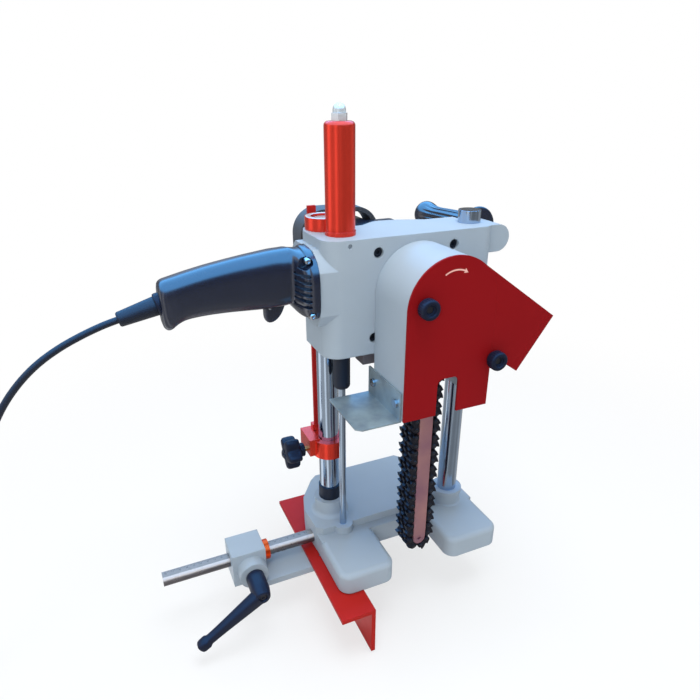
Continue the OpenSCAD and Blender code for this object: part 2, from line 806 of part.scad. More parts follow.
// A rounded upright slice of the handle at x, from z0 to z1
module slice(x, z0, z1, r) {
    for (z = [z0 + r, z1 - r]) along_x(handle_y, z, r, x, x + 2, $fn = 32);
}
module grip_shape() {
    hull() {
        along_x(handle_y, handle_z, drum_r - 2, drum_x - 20, drum_x - 16, $fn = 32);
        slice(drum_x - 20, handle_z - drum_r + 5, handle_z + drum_r, 30);
        slice(-168, handle_z - 20, handle_z + 49, 24);
    }
    hull() {
        slice(-168, handle_z - 20, handle_z + 49, 24);
        slice(-215, handle_z - 20, handle_z + 46, grip_w);
    }
    hull() {
        slice(-215, handle_z - 20, handle_z + 46, grip_w);
        slice(handle_end + 8, handle_z - 24, handle_z + 29, grip_w - 1);
    }
    hull() {
        slice(handle_end + 10, handle_z - 28, handle_z + 28, grip_w - 2);
        slice(handle_end, handle_z - 24, handle_z + 22, 16);
    }
}
module trigger_handle() {
    color(black) difference() {
        union() {
            neck(drum_x - 10, drum_x, 0);
            neck(drum_x - 18, drum_x - 9, 2);
            grip_shape();
        }
        for (z = handle_screw_z) along_y(drum_x - 8, z, 4.4, handle_y - 60, screw_deep + 6);
        translate(boot_at) rotate([0, -90 - boot_tilt, 0])
            translate([0, 0, -boot_sink - soft]) cylinder(r = boot_r + soft, h = boot_sink + 9);
        box([pin_x - 12, handle_y - trigger_t / 2 - 1, pin_z - 20],
            [pin_x + 24, handle_y + trigger_t / 2 + 1, pin_z + 30]);
        along_y(pin_x, pin_z + 6, 2, handle_y - 30, handle_y + 30);
        for (i = [0:vents - 1]) for (side = [0, 1])
            translate([drum_x - 21, handle_y, handle_z + 27 - i * vent_step]) mirror([0, side, 0])
                rotate([0, 8, 0]) box([-10, -70, -1.4], [9, -drum_r + 10, 1.4]);
    }
}
module handle_screws() {
    color(steel) for (z = handle_screw_z) along_y(drum_x - 8, z, 3.8, screw_deep, screw_deep + 6);
}
module trigger() {
    color(black) difference() {
        slab(handle_y - trigger_t / 2, handle_y + trigger_t / 2) polygon([
            [pin_x - 8, pin_z + 14], [pin_x - 9, pin_z - 3], [pin_x - 7, pin_z - 13],
            [pin_x - 2, pin_z - 17], [pin_x + 4, pin_z - 18], [pin_x + 11, pin_z - 14],
            [pin_x + 16, pin_z - 2], [pin_x + 19, pin_z + 14]
        ]);
        along_y(pin_x, pin_z + 6, 2 + fit, handle_y - 30, handle_y + 30);
    }
}
module trigger_pin() {
    color(steel) along_y(pin_x, pin_z + 6, 2, handle_y - 18, handle_y + 18);
}

// Side handle
grip_x = 132;
grip_z = head_top - 14.5;
grip_seat = grip_r * sin(grip_tilt) + 0.25;
flange_r = 27;
module on_grip() {
    translate([grip_x, lobe_y1, grip_z]) rotate([-grip_tilt - 90, 0, 0]) children();
}
module side_grip() {
    color(black) on_grip() difference() {
        rotate_extrude() {
            translate([0, 1.5]) square([flange_r, 6]);
            translate([0, grip_seat]) square([grip_r, grip_len - 6 - grip_seat]);
            translate([0, grip_len - 22]) polygon([
                [0, 0], [grip_r, 0], [19.7, 12], [19.7, 16], [14, 22], [0, 22]
            ]);
        }
        translate([0, 0, -1]) cylinder(r = 5, h = grip_len - 20);
        for (i = [0:11]) rotate(i * 30 + 15)
            translate([grip_r + 1, 0, 18]) cylinder(r = 2, h = grip_len - 50);
    }
}
module grip_core() {
    color(steel) on_grip() translate([0, 0, grip_seat]) cylinder(r = 5, h = grip_len - 22 - grip_seat);
}

// Depth stop
stop_top = stop_z + stop_h;
stop_block_top = stop_top + 2;
stop_post_top = stop_z + 35.5;
screw_z = stop_z + 10;
screw_y = 6;
module depth_stop() {
    color(red) difference() {
        union() {
            upright(left_x, 0, stop_d / 2, stop_z, stop_top);
            box([left_x - 32, -6, stop_z + 2], [left_x - 16, lug_y + 5, stop_block_top]);
            box([left_x - 32, lug_y - 8, stop_z + 2],
                [scale_x + scale_w / 2 + 4, lug_y + 5, stop_block_top]);
            box([scale_x - scale_w / 2 - 4, lug_y - scale_t / 2 - 2, stop_z + 2],
                [scale_x + scale_w / 2 + 4, lug_y + 5, stop_post_top]);
        }
        upright(left_x, 0, column_r + fit, stop_z - 1, stop_post_top + 1);
        box([scale_x - scale_w / 2, lug_y - scale_t / 2, stop_z + 10],
            [scale_x + scale_w / 2, lug_y + scale_t / 2, stop_post_top + 1]);
        along_x(screw_y, screw_z, 4, left_x - 40, left_x - 6);
    }
}
module scale_bar() {
    color(red) box([scale_x - scale_w / 2, lug_y - scale_t / 2, stop_z + 10],
                   [scale_x + scale_w / 2, lug_y + scale_t / 2, head_top + 24]);
}
module stop_screw() {
    color([0.75, 0.6, 0.25]) along_x(screw_y, screw_z, 4 - fit, left_x - 50, left_x - 15.3);
}
module star_knob() {
    color(black) translate([left_x - 38, screw_y, screw_z]) rotate([0, -90, 0]) difference() {
        union() {
            translate([0, 0, 0]) cylinder(r = 10, h = 12);
            translate([0, 0, 8]) linear_extrude(22) {
                circle(r = star_d / 2 - 9);
                for (i = [0:4]) rotate(i * 72 + 18) translate([star_d / 2 - 8, 0]) circle(r = 8);
            }
        }
        translate([0, 0, -1]) cylinder(r = 4 - fit, h = 13);
    }
}

// Fence
clamp_top = bar_z + bar_r + 11.5;
clamp_back = bar_y + bar_r + 13.5;
clamp_front = bar_y - bar_r - 12.5;
clamp_face = clamp_front - 18;
lever_x = clamp_x + 2;
lever_z = 10;
arm_t = 10;
fence_top = -1;
arm_top = fence_top - fence_t;
arm_back = 2;
module fence_clamp() {
    color(casting) difference() {
        union() {
            box([clamp_x - clamp_w / 2, clamp_front, arm_top - arm_t],
                [clamp_x + clamp_w / 2, clamp_back, clamp_top]);
            along_y(lever_x, lever_z, 21, clamp_face, clamp_front);
            box([clamp_x, clamp_face, arm_top - arm_t], [fence_x - fence_t, arm_back, arm_top]);
        }
        along_x(bar_y, bar_z, bar_r + fit, clamp_x - clamp_w / 2 - 1, clamp_x + clamp_w / 2 + 1);
        along_y(lever_x, lever_z, 5, clamp_face - 1, clamp_front + 8);
        for (y = [-46, -8]) upright(fence_x - fence_w / 2 - 6, y, 3, arm_top - arm_t - 1, arm_top + 1);
    }
}
module fence_angle() {
    color(red) difference() {
        union() {
            box([fence_x - fence_w, fence_front, arm_top], [fence_x, fence_front + fence_len, fence_top]);
            box([fence_x - fence_t, fence_front, fence_top - fence_h],
                [fence_x, fence_front + fence_len, fence_top]);
        }
        for (y = [-46, -8]) upright(fence_x - fence_w / 2 - 6, y, 3, arm_top - 1, fence_top + 1);
    }
}
module fence_screws() {
    color(steel) for (y = [-46, -8]) {
        upright(fence_x - fence_w / 2 - 6, y, 3, arm_top - arm_t, fence_top - 0.2);
        upright(fence_x - fence_w / 2 - 6, y, 5.5, arm_top - arm_t - 5, arm_top - arm_t);
    }
}
hub_front = clamp_face - 45;
module clamp_lever() {
    tip_x = lever_x - lever_len * cos(lever_slope);
    tip_z = lever_z - lever_len * sin(lever_slope);
    arm_y = hub_front + 9;
    color(black) difference() {
        union() {
            along_y(lever_x, lever_z, 13.5, clamp_face - 30, clamp_face - soft);
            translate([lever_x, clamp_face - 30, lever_z]) rotate([90, 0, 0])
                cylinder(r1 = 13.5, r2 = 10.5, h = 15);
            translate([lever_x, arm_y, lever_z]) rotate([0, 270 - lever_slope, 0])
                cylinder(r1 = 8.6, r2 = 5.8, h = lever_len - 4);
            translate([tip_x, arm_y, tip_z]) sphere(r = 8);
        }
        along_y(lever_x, lever_z, 5 + fit, clamp_face - 16, clamp_face + 1);
    }
}
module clamp_stud() {
    color(steel) along_y(lever_x, lever_z, 5, clamp_face - 15, clamp_front + 8);
}
module stop_ring() {
    ring_x = clamp_x + clamp_w / 2 + soft;
    color([0.92, 0.36, 0.10]) difference() {
        along_x(bar_y, bar_z, 15, ring_x, ring_x + 9);
        along_x(bar_y, bar_z, bar_r + fit, ring_x - 1, ring_x + 10);
    }
}

// Cord
floor_z = -84;
boot_len = 48;
boot_tilt = 14;
boot_r = 11.5;
boot_sink = 3.2;
boot_at = [handle_end + 0.5, handle_y, handle_z - 1];
cord_r = cord_d / 2;
boot_end = [boot_at[0] - boot_len * cos(boot_tilt), boot_at[1], boot_at[2] - boot_len * sin(boot_tilt)];
rest_z = floor_z + cord_r;
coil_at = [-730, 60, rest_z];
coil_step = cord_d + 1.2;
coil_out = coil_r + coil_step * coil_turns;
// The free stretch, from the boot down to the floor and to the coil
route = [
    boot_end, [-372, -25, 407], [-395, -25, 399], [-420, -25, 388], [-445, -25, 373], [-468, -24, 353],
    [-489, -23, 328], [-507, -22, 298], [-522, -20, 263], [-534, -18, 224], [-545, -16, 182],
    [-555, -14, 138], [-564, -12, 94], [-573, -10, 50], [-583, -8, 8], [-595, -6, -28],
    [-611, -4, -56], [-632, -3, -73], [-658, -2, rest_z], [-690, -2, rest_z],
    [coil_at[0], coil_at[1] - coil_out, rest_z]
];
sides = 8;
function unit(v) = v / norm(v);
function mix3(a, b, c, d, t) =
    0.5 * (2 * b + (c - a) * t + (2 * a - 5 * b + 4 * c - d) * t * t
        + (3 * b - a - 3 * c + d) * t * t * t);
function point_at(p, i, t) =
    mix3(p[max(i - 1, 0)], p[i], p[min(i + 1, len(p) - 1)], p[min(i + 2, len(p) - 1)], t);
function dense(p, n) = concat(
    [for (i = [0:len(p) - 2]) for (k = [0:n - 1]) point_at(p, i, k / n)],
    [p[len(p) - 1]]);
// A ring of points across the path at place i, with its end faces square to first and last
function ring_at(p, i, r, n, first, last) =
    let (t = i == 0 ? first : i == len(p) - 1 ? last : unit(p[i + 1] - p[i - 1]))
    let (side = unit(cross([0, 0, 1], norm(cross([0, 0, 1], t)) < 0.05 ? [0, 1, 0] : t)))
    let (up = unit(cross(t, side)))
    [for (k = [0:n - 1]) p[i] + r * (cos(k * 360 / n) * side + sin(k * 360 / n) * up)];
module tube(p, r, n, first, last) {
    m = len(p);
    points = [for (i = [0:m - 1]) each ring_at(p, i, r, n, first, last)];
    walls = [for (i = [0:m - 2]) for (k = [0:n - 1]) each [
        [i * n + k, (i + 1) * n + k, i * n + (k + 1) % n],
        [(i + 1) * n + k, (i + 1) * n + (k + 1) % n, i * n + (k + 1) % n]
    ]];
    caps = [[for (k = [0:n - 1]) k], [for (k = [n - 1:-1:0]) (m - 1) * n + k]];
    polyhedron(points = points, faces = concat(walls, caps), convexity = 10);
}
boot_dir = [-cos(boot_tilt), 0, -sin(boot_tilt)];
module power_cord() {
    color(black) tube(dense(route, 3), cord_r, sides, boot_dir, [-1, 0, 0]);
}
// The coil winds in on the floor and out again one layer up
turn_rings = 24;
coil_n = 2 * coil_turns * turn_rings;
half = coil_n / 2;
rise = cord_d + 0.8;
function coil_radius(k) =
    k < half ? coil_out - coil_step * k / turn_rings : coil_r + coil_step * (k - half) / turn_rings;
function climb(k) = min(max((k - half + turn_rings / 4) / (turn_rings / 2), 0), 1);
function coil_point(k) =
    coil_at + coil_radius(k) * [-sin(k * 360 / turn_rings), -cos(k * 360 / turn_rings), 0]
        + [0, 0, rise * climb(k)];
coil_path = [for (k = [0:coil_n]) coil_point(k)];
plug_r = 18;
coil_tail = [coil_path[coil_n][0] - 34, coil_path[coil_n][1], floor_z + plug_r];
coil_points = concat(coil_path,
    [coil_path[coil_n] + [-13, 0, 2], coil_tail + [9, 0, 0], coil_tail]);
coil_gap = min([
    for (i = [0:coil_n]) for (j = [i + 8:coil_n]) norm(coil_path[i] - coil_path[j])
]) - cord_d;
module cord_coil() {
    echo(least_gap_between_turns = coil_gap);
    color(black) tube(coil_points, cord_r, 6, [-1, 0, 0], [-1, 0, 0]);
}
module plug() {
    color(black) translate(coil_tail) rotate([0, -90, 0]) {
        cylinder(r1 = 5.5, r2 = 8, h = 16);
        translate([0, 0, 16]) cylinder(r = plug_r, h = 20);
        for (x = [-9.5, 9.5]) translate([0, x, 36]) cylinder(r = 2.4, h = 19);
    }
}
module cord_boot() {
    color(black) translate(boot_at) rotate([0, -90 - boot_tilt, 0]) {
        translate([0, 0, -boot_sink]) cylinder(r = boot_r, h = boot_sink);
        cylinder(r1 = boot_r, r2 = 8.7, h = boot_len);
        for (i = [1:4]) translate([0, 0, i * 9]) cylinder(r = 11.4 - i * 0.5, h = 3);
    }
}

base();
column_left();
column_right();
column_sleeve();
spring_rod();
rod_cap();
fence_bar();
return_spring();
housing();
column_ring();
bar_guide();
spring_tube();
tube_nut();
bumper();
housing_screws();
guard();
cover();
cover_studs();
knob_upper();
knob_lower();
shelf();
shelf_screws();
guide_bar();
bar_holder();
bar_bolts();
mortise_chain();
tension_block();
drive_shaft();
sprocket();
drive_gear();
motor_shaft();
armature();
motor_fan();
rear_casing();
rear_loop();
trigger_handle();
handle_screws();
trigger();
trigger_pin();
side_grip();
grip_core();
depth_stop();
scale_bar();
stop_screw();
star_knob();
fence_clamp();
fence_angle();
fence_screws();
clamp_lever();
clamp_stud();
stop_ring();
cord_boot();
power_cord();
cord_coil();
plug();
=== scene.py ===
"""Dresses the chain mortiser: its finishes, moulded grips, power cord, floor, lights and camera.

Sizes in the classes are millimetres in the part's own frame; meshes are made in metres.
"""

from __future__ import annotations

import logging
import math
from dataclasses import dataclass, field
from enum import Enum
from typing import Callable, Iterable, Sequence

import bmesh  # noqa: E402
import bpy  # noqa: E402
from mathutils import Matrix, Vector  # noqa: E402
from mathutils.bvhtree import BVHTree  # noqa: E402


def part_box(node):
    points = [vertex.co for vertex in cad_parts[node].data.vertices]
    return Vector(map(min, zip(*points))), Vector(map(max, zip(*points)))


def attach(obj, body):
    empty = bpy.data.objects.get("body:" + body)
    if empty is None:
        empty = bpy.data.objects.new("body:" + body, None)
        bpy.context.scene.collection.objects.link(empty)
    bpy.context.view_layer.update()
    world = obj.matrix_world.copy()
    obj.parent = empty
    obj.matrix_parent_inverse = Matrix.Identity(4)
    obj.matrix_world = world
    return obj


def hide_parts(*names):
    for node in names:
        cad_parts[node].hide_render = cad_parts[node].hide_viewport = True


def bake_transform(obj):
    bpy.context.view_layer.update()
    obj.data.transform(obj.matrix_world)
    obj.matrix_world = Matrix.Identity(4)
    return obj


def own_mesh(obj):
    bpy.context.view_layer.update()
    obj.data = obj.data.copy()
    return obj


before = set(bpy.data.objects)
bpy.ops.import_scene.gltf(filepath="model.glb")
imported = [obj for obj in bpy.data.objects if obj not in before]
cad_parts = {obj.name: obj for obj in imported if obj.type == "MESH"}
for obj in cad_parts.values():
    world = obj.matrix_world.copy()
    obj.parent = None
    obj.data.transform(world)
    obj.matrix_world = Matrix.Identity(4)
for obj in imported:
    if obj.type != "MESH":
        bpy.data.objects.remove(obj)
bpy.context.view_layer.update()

LOG = logging.getLogger("mortiser")
Point = tuple[float, float, float]
Colour = tuple[float, float, float]
Profile = list[tuple[float, float]]
Faces = list[tuple[int, ...]]
Wave = Callable[[float, float], float]
MM = 0.001
TURN = 2.0 * math.pi
LEFT: Point = (-1.0, 0.0, 0.0)
FORWARD: Point = (0.0, -1.0, 0.0)
UP: Point = (0.0, 0.0, 1.0)


# Places


@dataclass(frozen=True)
class Extent:
    """Where a CAD node lies at rest, in millimetres.

    Attributes:
        low: Its lowest corner.
        high: Its highest corner.
    """

    low: Vector
    high: Vector

    @classmethod
    def of(cls, node: str) -> Extent:
        """Reads a node's box from the frame."""
        low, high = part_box(node)
        return cls(Vector(low) / MM, Vector(high) / MM)

    @property
    def middle(self) -> Vector:
        """The middle of the box."""
        return (self.low + self.high) / 2.0


def placed(origin: Sequence[float], along: Sequence[float]) -> Matrix:
    """A matrix that takes local +Z to a direction.

    Args:
        origin: Where the local origin goes.
        along: The direction of the local Z axis.

    Returns:
        The matrix.
    """
    turn = Vector(along).to_track_quat("Z", "Y").to_matrix().to_4x4()
    return Matrix.Translation(Vector(origin)) @ turn


BAR_TOP = Extent.of("fence_bar").high.z
BOOT_TILT = math.radians(14.0)
BOOT_WAY = Vector((-math.cos(BOOT_TILT), 0.0, -math.sin(BOOT_TILT)))
BOOT_MOUTH = Vector((-308.5, -25.0, 423.0))


# Shader arithmetic


class Sock:
    """A shader output that takes part in Python arithmetic."""

    def __init__(self, graph: Graph, socket: bpy.types.NodeSocket) -> None:
        """Keeps the socket and the graph that it belongs to."""
        self.graph = graph
        self.socket = socket

    def _maths(self, operation: str, first: Value, second: Value) -> Sock:
        """Adds a Math node for two values.

        Args:
            operation: Blender's name of the operation.
            first: The first value or socket.
            second: The second value or socket.

        Returns:
            The node's result.
        """
        return self.graph.node("ShaderNodeMath", {"operation": operation}, {0: first, 1: second})

    def __add__(self, other: Value) -> Sock:
        """The sum."""
        return self._maths("ADD", self, other)

    def __radd__(self, other: Value) -> Sock:
        """The sum, reflected."""
        return self._maths("ADD", other, self)

    def __sub__(self, other: Value) -> Sock:
        """The difference."""
        return self._maths("SUBTRACT", self, other)

    def __rsub__(self, other: Value) -> Sock:
        """The difference, reflected."""
        return self._maths("SUBTRACT", other, self)

    def __mul__(self, other: Value) -> Sock:
        """The product."""
        return self._maths("MULTIPLY", self, other)

    def __rmul__(self, other: Value) -> Sock:
        """The product, reflected."""
        return self._maths("MULTIPLY", other, self)


Value = Sock | float


class Graph:
    """The node graph of one material or of the world."""

    def __init__(
        self, owner: bpy.types.Material | bpy.types.World, output: str = "ShaderNodeOutputMaterial"
    ) -> None:
        """Empties the owner's graph and adds its output.

        Args:
            owner: The material or the world.
            output: Blender's name of the output node's type.
        """
        owner.use_nodes = True
        self.tree = owner.node_tree
        self.tree.nodes.clear()
        self.output = self.tree.nodes.new(output)

    def node(
        self,
        kind: str,
        settings: dict[str, object] | None = None,
        inputs: dict[int | str, object] | None = None,
        output: int | str = 0,
    ) -> Sock:
        """Adds one node.

        Args:
            kind: Blender's name of the node type.
            settings: The node's own settings, set first; "stops" gives a ramp's places and colours.
            inputs: A value or a Sock for each socket that is set.
            output: The output that the result stands for.

        Returns:
            The chosen output.
        """
        made = self.tree.nodes.new(kind)
        for name, value in (settings or {}).items():
            if name == "stops":
                self._stops(made.color_ramp, value)
            else:
                setattr(made, name, value)
        for name, value in (inputs or {}).items():
            if isinstance(value, Sock):
                self.tree.links.new(value.socket, made.inputs[name])
            elif value is not None:
                made.inputs[name].default_value = value
        return Sock(self, made.outputs[output])

    @staticmethod
    def _stops(ramp: bpy.types.ColorRamp, stops: Sequence[tuple[float, Colour]]) -> None:
        """Gives a ramp its stops.

        Args:
            ramp: The ramp, which has two stops as it is made.
            stops: The place and the colour of each stop, in order.
        """
        for element, (place, colour) in zip(ramp.elements, (stops[0], stops[-1])):
            element.position = place
            element.color = (*colour, 1.0)
        for place, colour in stops[1:-1]:
            ramp.elements.new(place).color = (*colour, 1.0)

    def mixed(self, factor: Value, first: object, second: object) -> Sock:
        """Mixes two colours.

        Args:
            factor: How much of the second shows.
            first: A colour or a Sock.
            second: A colour or a Sock.

        Returns:
            The mixed colour.
        """
        ends = [c if isinstance(c, Sock) else (*c, 1.0) for c in (first, second)]
        return self.node("ShaderNodeMix", {"data_type": "RGBA"}, {0: factor, 6: ends[0], 7: ends[1]}, 2)

    def shell(self, socket: Sock) -> None:
        """Links a shader to the output's surface."""
        self.tree.links.new(socket.socket, self.output.inputs["Surface"])


# Finishes


class Texture(Enum):
    """How a surface was made."""

    CAST = "cast"
    BRUSHED = "brushed"
    TURNED = "turned"
    MOULDED = "moulded"
    SPANGLED = "spangled"
    OILED = "oiled"
    PAINTED = "painted"


@dataclass(frozen=True)
class Band:
    """A band by height that lays another colour over a surface, used to paint light and shade.

    Attributes:
        start: Height in millimetres where the band begins.
        fade: Height over which it fades in, in millimetres.
        colour: Its colour, linear.
        metallic: How metallic it is.
    """

    start: float
    fade: float
    colour: Colour
    metallic: float


@dataclass(frozen=True)
class Finish:
    """One finish of the machine.

    Attributes:
        name: The material's name.
        slot: The record's material slot; not used.
        colour: The main colour, linear.
        second: The colour of the patches.
        texture: How the surface was made.
        metallic: How metallic it is.
        roughness: The mean roughness.
        spread: How much the roughness varies.
        patch: Patches for each metre.
        patch_share: How strongly the patches show.
        grain: Grains for each metre.
        relief: Height of the grain in millimetres.
        gleam: How strongly a bare surface mirrors, 0.5 for plain plastic.
        edge: Radius of the softened edges in millimetres.
        bands: Bands by height laid over the main surface, from the lowest; they paint light and shade.
    """

    name: str
    slot: str
    colour: Colour
    second: Colour
    texture: Texture
    metallic: float = 0.0
    roughness: float = 0.5
    spread: float = 0.1
    patch: float = 40.0
    patch_share: float = 0.3
    grain: float = 900.0
    relief: float = 0.03
    gleam: float = 0.5
    edge: float = 0.8
    bands: tuple[Band, ...] = ()

    def _stretch(self) -> Point:
        """How far the grain is stretched along each axis.

        Returns:
            The scale along X, Y and Z; a small one draws the grain out.
        """
        if self.texture is Texture.BRUSHED:
            return (1.0, 1.0, 0.03)
        if self.texture is Texture.TURNED:
            return (0.05, 0.05, 1.0)
        return (1.0, 1.0, 1.0)

    def _grain(self, graph: Graph, place: Sock) -> Sock:
        """The fine height field.

        Args:
            graph: The material's graph.
            place: The point on the surface.

        Returns:
            Height from 0 to 1.
        """
        stretched = graph.node(
            "ShaderNodeMapping", {"vector_type": "POINT"}, {"Vector": place, "Scale": self._stretch()}
        )
        fine = graph.node("ShaderNodeTexNoise", {}, {"Vector": stretched, "Scale": self.grain, "Detail": 3.0})
        if self.texture is Texture.SPANGLED:
            flake = graph.node("ShaderNodeTexVoronoi", {}, {"Vector": place, "Scale": 260.0}, "Distance")
            return fine * 0.5 + flake * 0.5
        if self.texture is Texture.CAST:
            wave = graph.node("ShaderNodeTexNoise", {}, {"Vector": place, "Scale": 90.0, "Detail": 2.0})
            return fine * 0.45 + wave * 0.9
        return fine

    def _banded(self, graph: Graph, place: Sock, colour: Sock) -> tuple[Sock, Value]:
        """Lays the bands of painted light and shade over the main surface.

        Args:
            graph: The material's graph.
            place: The point on the surface.
            colour: The main surface's colour.

        Returns:
            The colour, and how metallic the surface is.
        """
        metallic: Value = self.metallic
        for band in self.bands:
            height = graph.node("ShaderNodeSeparateXYZ", {}, {0: place}, 2)
            share = graph.node(
                "ShaderNodeMapRange", {},
                {"Value": height, "From Min": band.start * MM, "From Max": (band.start + band.fade) * MM},
            )
            colour = graph.mixed(share, colour, band.colour)
            metallic = metallic + (band.metallic - metallic) * share
        return colour, metallic

    def material(self) -> bpy.types.Material:
        """Builds the finish's material once.

        Returns:
            The material.
        """
        name = f"{self.name}_finish"
        found = bpy.data.materials.get(name)
        if found:
            return found
        made = bpy.data.materials.new(name)
        graph = Graph(made)
        place = graph.node("ShaderNodeTexCoord", output="Object")
        cloud = graph.node("ShaderNodeTexNoise", {}, {"Vector": place, "Scale": self.patch, "Detail": 4.0})
        patches = graph.node("ShaderNodeMapRange", {}, {"Value": cloud, "From Min": 0.38, "From Max": 0.66})
        colour, metallic = self._banded(
            graph, place, graph.mixed(patches * self.patch_share, self.colour, self.second)
        )
        rough = cloud * (2.0 * self.spread) + (self.roughness - self.spread)
        soft = graph.node("ShaderNodeBevel", {"samples": 4}, {"Radius": self.edge * MM})
        grain = self._grain(graph, place)
        normal = graph.node(
            "ShaderNodeBump", {}, {"Distance": self.relief * MM, "Height": grain, "Normal": soft}
        )
        graph.shell(
            graph.node(
                "ShaderNodeBsdfPrincipled",
                {},
                {
                    "Base Color": colour,
                    "Metallic": metallic,
                    "Roughness": rough,
                    "Specular IOR Level": self.gleam,
                    "Normal": normal,
                },
            )
        )
        return made


CAST_GREY = Finish(
    "cast_grey", "cast_grey", (0.335, 0.385, 0.43), (0.295, 0.34, 0.38), Texture.CAST,
    roughness=0.42, spread=0.05, patch=14, grain=1400, relief=0.025, gleam=0.16, edge=1.8,
)
RED_ANODISED = Finish(
    "red_anodised", "red_anodised", (0.80, 0.054, 0.030), (0.66, 0.040, 0.022), Texture.BRUSHED,
    metallic=0.72, roughness=0.24, spread=0.05, grain=1600, relief=0.004, gleam=0.2, edge=0.8,
)
RED_FENCE = Finish(
    "red_fence", "red_anodised", (0.42, 0.016, 0.012), (0.35, 0.013, 0.010), Texture.PAINTED,
    metallic=0.1, roughness=0.42, spread=0.06, grain=1500, relief=0.006, gleam=0.08, edge=0.8,
)
DEEP_RED = Finish(
    "deep_red", "deep_red", (0.235, 0.0062, 0.0082), (0.205, 0.0055, 0.0075), Texture.PAINTED,
    roughness=0.42, spread=0.04, patch=9, grain=1300, relief=0.004, gleam=0.03, edge=0.5,
)
CHROMED = Finish(
    "chromed", "chromed", (0.42, 0.50, 0.60), (0.34, 0.41, 0.50), Texture.BRUSHED,
    metallic=1.0, roughness=0.12, spread=0.03, grain=2500, relief=0.001, edge=0.5,
)
BRIGHT_STEEL = Finish(
    "bright_steel", "bright_steel", (0.46, 0.46, 0.47), (0.36, 0.36, 0.37), Texture.BRUSHED,
    metallic=1.0, roughness=0.27, spread=0.06, grain=1800, relief=0.004, edge=0.4,
)
BAR_STEEL = Finish(
    "bar_steel", "bright_steel", (0.25, 0.11, 0.155), (0.46, 0.22, 0.19), Texture.BRUSHED,
    metallic=0.4, roughness=0.42, spread=0.10, patch=9, patch_share=1.0, grain=1500, relief=0.008, edge=0.4,
)
ZINC_PLATE = Finish(
    "zinc_plate", "zinc_plate", (0.31, 0.38, 0.40), (0.17, 0.21, 0.24), Texture.SPANGLED,
    metallic=0.45, roughness=0.36, spread=0.08, patch=34, patch_share=0.8, grain=900, relief=0.006, edge=0.6,
)
DARK_CHAIN = Finish(
    "dark_chain", "dark_chain", (0.012, 0.014, 0.022), (0.055, 0.042, 0.045), Texture.OILED,
    metallic=0.55, roughness=0.36, spread=0.12, patch=160, patch_share=0.4, grain=1200, relief=0.02,
    gleam=0.3, edge=0.3,
)
RIVET_STEEL = Finish(
    "rivet_steel", "dark_chain", (0.060, 0.058, 0.066), (0.035, 0.034, 0.040), Texture.TURNED,
    metallic=0.9, roughness=0.33, spread=0.08, patch=200, grain=1500, relief=0.006, edge=0.3,
)
BLACK_PLASTIC = Finish(
    "black_plastic", "black_plastic", (0.0075, 0.0105, 0.024), (0.0100, 0.0135, 0.029), Texture.MOULDED,
    roughness=0.4, spread=0.05, patch=30, grain=2200, relief=0.025, gleam=0.16, edge=0.9,
)
SATIN_BLACK = Finish(
    "satin_black", "black_plastic", (0.0045, 0.0075, 0.022), (0.0070, 0.0105, 0.027), Texture.MOULDED,
    roughness=0.22, spread=0.04, patch=30, grain=2400, relief=0.010, gleam=0.9, edge=0.9,
)
BLACK_RUBBER = Finish(
    "black_rubber", "black_rubber", (0.0060, 0.0090, 0.018), (0.0095, 0.0125, 0.023), Texture.MOULDED,
    roughness=0.50, spread=0.06, grain=1800, relief=0.015, gleam=0.35, edge=0.7,
)
BRASS_SCREW = Finish(
    "brass_screw", "brass_screw", (0.46, 0.26, 0.085), (0.32, 0.18, 0.065), Texture.TURNED,
    metallic=1.0, roughness=0.34, spread=0.06, grain=1500, relief=0.02, edge=0.3,
)
COPPER = Finish(
    "copper_winding", "copper_winding", (0.40, 0.15, 0.06), (0.28, 0.10, 0.05), Texture.TURNED,
    metallic=0.7, roughness=0.40, grain=900, relief=0.08, edge=0.4,
)
ORANGE_RING = Finish(
    "orange_ring", "orange_ring", (0.80, 0.064, 0.008), (0.68, 0.048, 0.006), Texture.TURNED,
    metallic=0.75, roughness=0.24, spread=0.05, grain=1400, relief=0.006, gleam=0.1, edge=0.8,
)
BROWN_BLOCK = Finish(
    "brown_block", "brown_block", (0.17, 0.145, 0.15), (0.11, 0.095, 0.10), Texture.CAST,
    metallic=0.4, roughness=0.5, grain=900, relief=0.03, edge=0.8,
)
PALE_MARK = Finish(
    "pale_mark", "deep_red", (0.80, 0.44, 0.37), (0.70, 0.36, 0.30), Texture.PAINTED,
    roughness=0.5, spread=0.05, grain=1200, relief=0.004, gleam=0.2, edge=0.2,
)
DARK_MARK = Finish(
    "dark_mark", "bright_steel", (0.035, 0.035, 0.045), (0.07, 0.07, 0.08), Texture.PAINTED,
    metallic=0.3, roughness=0.45, spread=0.05, grain=1200, relief=0.004, gleam=0.2, edge=0.1,
)
# The fence bar's steel: the dark main colour paints the shade on the bar's lower round side, the lower band
# paints a highlight along the round under the flat, and the top band gives the flat its matt grey.
FLAT_STEEL_PAINTED_LIGHT = Finish(
    "flat_steel_painted_light", "bright_steel", (0.17, 0.155, 0.16), (0.13, 0.12, 0.125), Texture.BRUSHED,
    metallic=0.85, roughness=0.28, spread=0.06, grain=1800, relief=0.004, gleam=0.1, edge=0.4,
    bands=(
        # Painted highlight along the round just under the flat.
        Band(BAR_TOP - 5.7, 2.5, (0.55, 0.50, 0.47), 0.1),
        # The flat's own matt grey, where the scale stands.
        Band(BAR_TOP - 0.1, 0.08, (0.25, 0.24, 0.23), 0.1),
    ),
)
# Pale nickel: the tube's own nut; on the ring round the left column and on that column's end the same pale
# colour is a painted highlight and a painted reflection.
NICKEL_AND_HIGHLIGHT = Finish(
    "nickel_and_highlight", "chromed", (0.56, 0.60, 0.62), (0.46, 0.49, 0.51), Texture.TURNED,
    metallic=0.3, roughness=0.20, spread=0.04, grain=1500, relief=0.003, gleam=0.3, edge=0.4,
)
